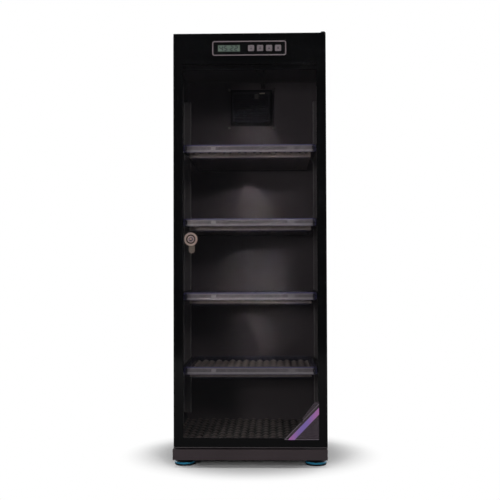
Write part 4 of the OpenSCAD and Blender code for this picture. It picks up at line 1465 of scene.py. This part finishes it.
@dataclass
class DryingUnit:
    """The louvred unit on the back wall, its light bar, its sensor and its two cables.

    A cable's points are shares of its way across and of its drop, from the ceiling to the unit. Its
    hole in the ceiling is measured from the unit's middle and from the glass, its end from the unit's
    middle and from the back wall.
    """

    edge: float = 0.6 * MM
    rim: float = 5.4 * MM
    rim_edge: float = 1.1 * MM
    collar_in: float = 2.7 * MM
    hole_over: float = 2.0 * MM
    blades: int = 15
    blade_t: float = 2.1 * MM
    blade_edge: float = 0.3 * MM
    blade_turn: float = 24.0
    blade_share: float = 0.55
    cable_r: float = 2.0 * MM
    cable_round: int = 4
    cable_fine: int = 6
    cable_angle: float = 60.0
    holes: tuple[tuple[float, float], ...] = ((19.0 * MM, 205.0 * MM), (39.0 * MM, 215.0 * MM))
    ends: tuple[float, ...] = (32.0 * MM, 38.5 * MM)
    end_in: float = 14.8 * MM
    way_shares: tuple[float, ...] = (0.0, 0.0, 0.04, 0.2, 0.48, 0.75, 0.9, 0.97, 0.995, 1.0)
    drop_shares: tuple[float, ...] = (-0.2, 0.07, 0.21, 0.25, 0.25, 0.28, 0.35, 0.5, 0.74, 1.0)

    def build(self) -> None:
        """Builds the unit's pieces."""
        edge_rounded("unit_housing", UNIT_PLASTIC, self.edge)
        self.grille()
        edge_rounded("unit_indicator", INDICATOR_PLASTIC, self.edge / 2)
        edge_rounded("humidity_sensor", SENSOR_PLASTIC, self.edge)
        self.cables()

    def grille(self) -> None:
        """The grille: a raised frame with a collar inside the housing and slanted blades in it."""
        box = Extent.of("unit_grille")
        ring = Bench.block("ring", box.low, (box.high.x, box.centre.y, box.high.z))
        inset = Vector((self.collar_in, 0.0, self.collar_in))
        overlap = Vector((0.0, self.collar_in / 4, 0.0))
        collar_low = Vector((box.low.x, box.centre.y, box.low.z)) + inset - overlap
        ring = Bench.combine(ring, Bench.block("collar", collar_low, box.high - inset), "UNION")
        inner = Vector((self.rim, 0.0, self.rim))
        over = Vector((0.0, self.hole_over, 0.0))
        hole = Bench.block("hole", box.low + inner - over, box.high - inner + over)
        ring = Bench.combine(ring, hole, "DIFFERENCE")
        Bench.outward(ring)
        Bench.round_edges(ring, self.rim_edge, segments=3)
        step = (box.size.z - 2 * self.rim) / self.blades
        reach = Vector((box.size.x / 2 - self.rim / 2, step * self.blade_share, self.blade_t / 2))
        blades = []
        for index in range(self.blades):
            z = box.low.z + self.rim + (index + 0.5) * step
            middle = Vector((box.centre.x, box.centre.y, z))
            blade = Bench.block("blade", middle - reach, middle + reach)
            with Bench.editing(blade):
                bpy.ops.mesh.select_all(action="SELECT")
                bpy.ops.transform.rotate(
                    value=math.radians(self.blade_turn), orient_axis="X", center_override=middle
                )
            blades.append(Bench.round_edges(blade, self.blade_edge))
        grille = Bench.join("unit_grille_louvres", [ring, *blades])
        Bench.stand_for(grille, GRILLE_PLASTIC, "unit_grille")

    def cables(self) -> None:
        """The two cables, held from the ceiling to the unit's top."""
        unit = Extent.of("unit_housing")
        glass = Extent.of("door_glass")
        ceiling = Extent.of("ceiling_panel").low.z
        back = Extent.of("back_panel").low.y
        drop = ceiling - unit.high.z
        tubes = []
        for (hole_x, hole_y), end_x in zip(self.holes, self.ends):
            start = Vector((unit.centre.x + hole_x, glass.low.y + hole_y, 0.0))
            end = Vector((unit.centre.x + end_x, back - self.end_in, 0.0))
            points = []
            for way, fall in zip(self.way_shares, self.drop_shares):
                point = start.lerp(end, way)
                point.z = ceiling - fall * drop
                points.append(point)
            tubes.append(self.tube(points))
        cables = Bench.join("unit_cable_pair", tubes)
        Bench.stand_for(cables, CABLE_SLEEVE, "unit_cables")

    def tube(self, points: Sequence[Vector]) -> bpy.types.Object:
        """A round sleeve along a smooth line through points.

        Args:
            points: the points, in metres.

        Returns:
            The sleeve as a closed mesh.
        """
        curve = bpy.data.curves.new("sleeve", "CURVE")
        curve.dimensions = "3D"
        curve.bevel_depth = self.cable_r
        curve.bevel_resolution = self.cable_round
        curve.resolution_u = self.cable_fine
        curve.use_fill_caps = True
        spline = curve.splines.new("BEZIER")
        spline.bezier_points.add(len(points) - 1)
        for knot, point in zip(spline.bezier_points, points):
            knot.co = point
            knot.handle_left_type = "AUTO"
            knot.handle_right_type = "AUTO"
        obj = bpy.data.objects.new("sleeve", curve)
        bpy.context.scene.collection.objects.link(obj)
        Bench.only(obj)
        bpy.ops.object.convert(target="MESH")
        return Bench.smooth(bpy.context.object, self.cable_angle)


@dataclass
class Feet:
    """The four levelling feet and their blue rings."""

    edge: float = 0.4 * MM

    def build(self) -> None:
        """Builds the feet."""
        for corner in ("front_left", "front_right", "rear_left", "rear_right"):
            edge_rounded(f"foot_{corner}", FOOT_RUBBER, self.edge)
            edge_rounded(f"foot_ring_{corner}", FOOT_RING, self.edge)


@dataclass(frozen=True)
class Lamp:
    """One soft box.

    It stands at a place and faces a point. Its width and height are in metres, its power in watts and
    the spread of its beam in degrees. A lamp that isn't mirrored stays out of glossy faces.
    """

    name: str
    place: tuple[float, float, float]
    aim: tuple[float, float, float]
    width: float
    height: float
    power: float
    spread: float = 180.0
    mirrored: bool = True

    def build(self) -> None:
        """Builds the lamp."""
        data = bpy.data.lights.new(self.name, "AREA")
        data.shape = "RECTANGLE"
        data.size = self.width
        data.size_y = self.height
        data.energy = self.power
        data.spread = math.radians(self.spread)
        obj = bpy.data.objects.new(self.name, data)
        bpy.context.scene.collection.objects.link(obj)
        obj.location = self.place
        obj.visible_camera = False
        obj.visible_glossy = self.mirrored
        obj.rotation_mode = "QUATERNION"
        obj.rotation_quaternion = (Vector(self.aim) - Vector(self.place)).to_track_quat("-Z", "Y")


DOOR_POINT = (0.0, -0.1, 0.6)
WALL_POINT = (0.0085, 0.2, 0.68)
TOP_POINT = (0.0, -0.2, 0.0)
REAR_POINT = (0.0, 0.0, 0.6)
LAMPS = (
    Lamp("left_box", (-1.216, -3.176, 0.78), DOOR_POINT, 0.5, 0.4, 27.0, mirrored=False),
    Lamp("right_box", (1.048, -3.176, 1.55), DOOR_POINT, 0.5, 0.4, 20.0, mirrored=False),
    Lamp("grid", (-1.15, -3.176, 1.13), WALL_POINT, 0.15, 0.8, 0.172, 3.0, mirrored=False),
    Lamp("grid", (1.0, -3.176, 1.13), WALL_POINT, 0.15, 0.8, 0.172, 3.0, mirrored=False),
    Lamp("left_sheen", (-1.6, -3.1, 1.3), DOOR_POINT, 0.9, 1.6, 5.0),
    Lamp("right_sheen", (1.5, -3.1, 1.3), DOOR_POINT, 0.9, 1.6, 5.0),
    Lamp("top_box", (0.0, -0.9, 3.6), TOP_POINT, 2.2, 1.6, 40.0),
    Lamp("rear_left_box", (-1.9, 2.2, 1.6), REAR_POINT, 0.8, 1.2, 25.0),
    Lamp("rear_right_box", (1.9, 2.2, 1.6), REAR_POINT, 0.8, 1.2, 25.0),
)


@dataclass
class Studio:
    """The camera at the photo's place, the pale floor, the surroundings and the lamps."""

    focal_px: float = 923.25
    frame_px: float = 500.0
    sensor: float = 36.0
    clip_end: float = 100.0
    camera_at: tuple[float, float, float] = (0.0639, -2.591, 0.503)
    pitch: float = 1.427
    yaw: float = 1.494
    roll: float = 0.174
    floor_size: float = 60.0
    floor_fade: tuple[float, float] = (0.2, 0.37)
    floor_low: Colour = (0.93, 0.93, 0.93)
    floor_high: Colour = (0.97, 0.97, 0.97)
    floor_unseen: Colour = (0.3, 0.3, 0.3)
    room: Colour = (0.95, 0.97, 1.0)
    ambient: float = 0.07
    dark: float = 0.05
    rear_span: tuple[float, float] = (-0.1, 0.2)

    def build(self) -> None:
        """Builds the studio."""
        self.camera()
        self.floor()
        self.world()
        for lamp in LAMPS:
            lamp.build()
        bpy.context.scene.view_settings.view_transform = "Standard"

    def camera(self) -> None:
        """The camera, at the photo's place and angle."""
        data = bpy.data.cameras.new("camera")
        data.sensor_width = self.sensor
        data.lens = self.focal_px / self.frame_px * self.sensor
        data.clip_end = self.clip_end
        obj = bpy.data.objects.new("camera", data)
        bpy.context.scene.collection.objects.link(obj)
        pitch, yaw, roll = (math.radians(a) for a in (self.pitch, self.yaw, self.roll))
        ahead = Vector((-math.sin(yaw) * math.cos(pitch), math.cos(yaw) * math.cos(pitch), math.sin(pitch)))
        level = ahead.cross(Vector((0.0, 0.0, 1.0))).normalized()
        upright = level.cross(ahead)
        right = level * math.cos(roll) - upright * math.sin(roll)
        up = right.cross(ahead)
        turn = Matrix((right, up, -ahead)).transposed()
        obj.matrix_world = Matrix.Translation(self.camera_at) @ turn.to_4x4()
        bpy.context.scene.camera = obj

    def floor(self) -> None:
        """A floor that is pale to the camera, white far away, and darker to other rays."""
        Bench.clear()
        bpy.ops.mesh.primitive_plane_add(size=self.floor_size, location=(0.0, 0.0, 0.0))
        floor = bpy.context.object
        floor.name = "studio_floor"
        shader = Shader("studio floor")
        cloud = shader.noise(1.5, 3.0)
        path = shader.node("ShaderNodeLightPath")
        seen = Val(shader.tree, path.outputs["Is Camera Ray"])
        pale = shader.blend(cloud, self.floor_low, self.floor_high)
        shader.set(
            Base_Color=shader.blend(seen, self.floor_unseen, pale),
            Roughness=0.8,
            Specular_IOR_Level=0.1,
        )
        x = shader.along(Axis.X)
        y = shader.along(Axis.Y)
        away = (x * x + y * y) ** 0.5
        white = shader.node("ShaderNodeEmission", Color=(1.0, 1.0, 1.0), Strength=1.0)
        far = away.ramp(*self.floor_fade)
        mixed = shader.node("ShaderNodeMixShader")
        shader.feed(mixed.inputs[0], seen * far)
        shader.tree.links.new(shader.surface.outputs[0], mixed.inputs[1])
        shader.tree.links.new(white.outputs[0], mixed.inputs[2])
        shader.tree.links.new(mixed.outputs[0], shader.output.inputs["Surface"])
        floor.data.materials.append(shader.material)

    def world(self) -> None:
        """A white background for the camera and behind the object, and an even dim light elsewhere."""
        world = bpy.data.worlds.new("studio")
        bpy.context.scene.world = world
        world.use_nodes = True
        tree = world.node_tree
        tree.nodes.clear()
        output = tree.nodes.new("ShaderNodeOutputWorld")
        backdrop = tree.nodes.new("ShaderNodeBackground")
        backdrop.inputs["Color"].default_value = (1.0, 1.0, 1.0, 1.0)
        room = tree.nodes.new("ShaderNodeBackground")
        room.inputs["Color"].default_value = (*self.room, 1.0)
        path = tree.nodes.new("ShaderNodeLightPath")
        place = tree.nodes.new("ShaderNodeTexCoord")
        split = tree.nodes.new("ShaderNodeSeparateXYZ")
        tree.links.new(place.outputs["Generated"], split.inputs[0])
        behind = Val(tree, split.outputs["Y"]).ramp(*self.rear_span)
        glossy = Val(tree, path.outputs["Is Glossy Ray"])
        strength = self.ambient - glossy * (self.ambient - self.dark)
        tree.links.new(strength.socket, room.inputs["Strength"])
        through = Val(tree, path.outputs["Is Transmission Ray"])
        camera = Val(tree, path.outputs["Is Camera Ray"])
        share = (camera + through + glossy * behind).least(1.0)
        mixed = tree.nodes.new("ShaderNodeMixShader")
        tree.links.new(share.socket, mixed.inputs[0])
        tree.links.new(room.outputs[0], mixed.inputs[1])
        tree.links.new(backdrop.outputs[0], mixed.inputs[2])
        tree.links.new(mixed.outputs[0], output.inputs["Surface"])


def main() -> None:
    """Builds every sub-assembly in order."""
    Studio().build()
    Casing().build()
    Door().build()
    ControlPanel().build()
    Lock().build()
    Supports().build()
    Trays().build()
    # The floor mat takes darker painted shade in its valleys than the trays' pads.
    EggCrate("floor_mat", colour=MAT_FOAM, deep=0.12).build()
    DryingUnit().build()
    Feet().build()
    left = [name for name, obj in NODES.items() if not obj.hide_render]
    log.info("CAD nodes that show: %s", ", ".join(left))


if __name__ == "__main__":
    main()
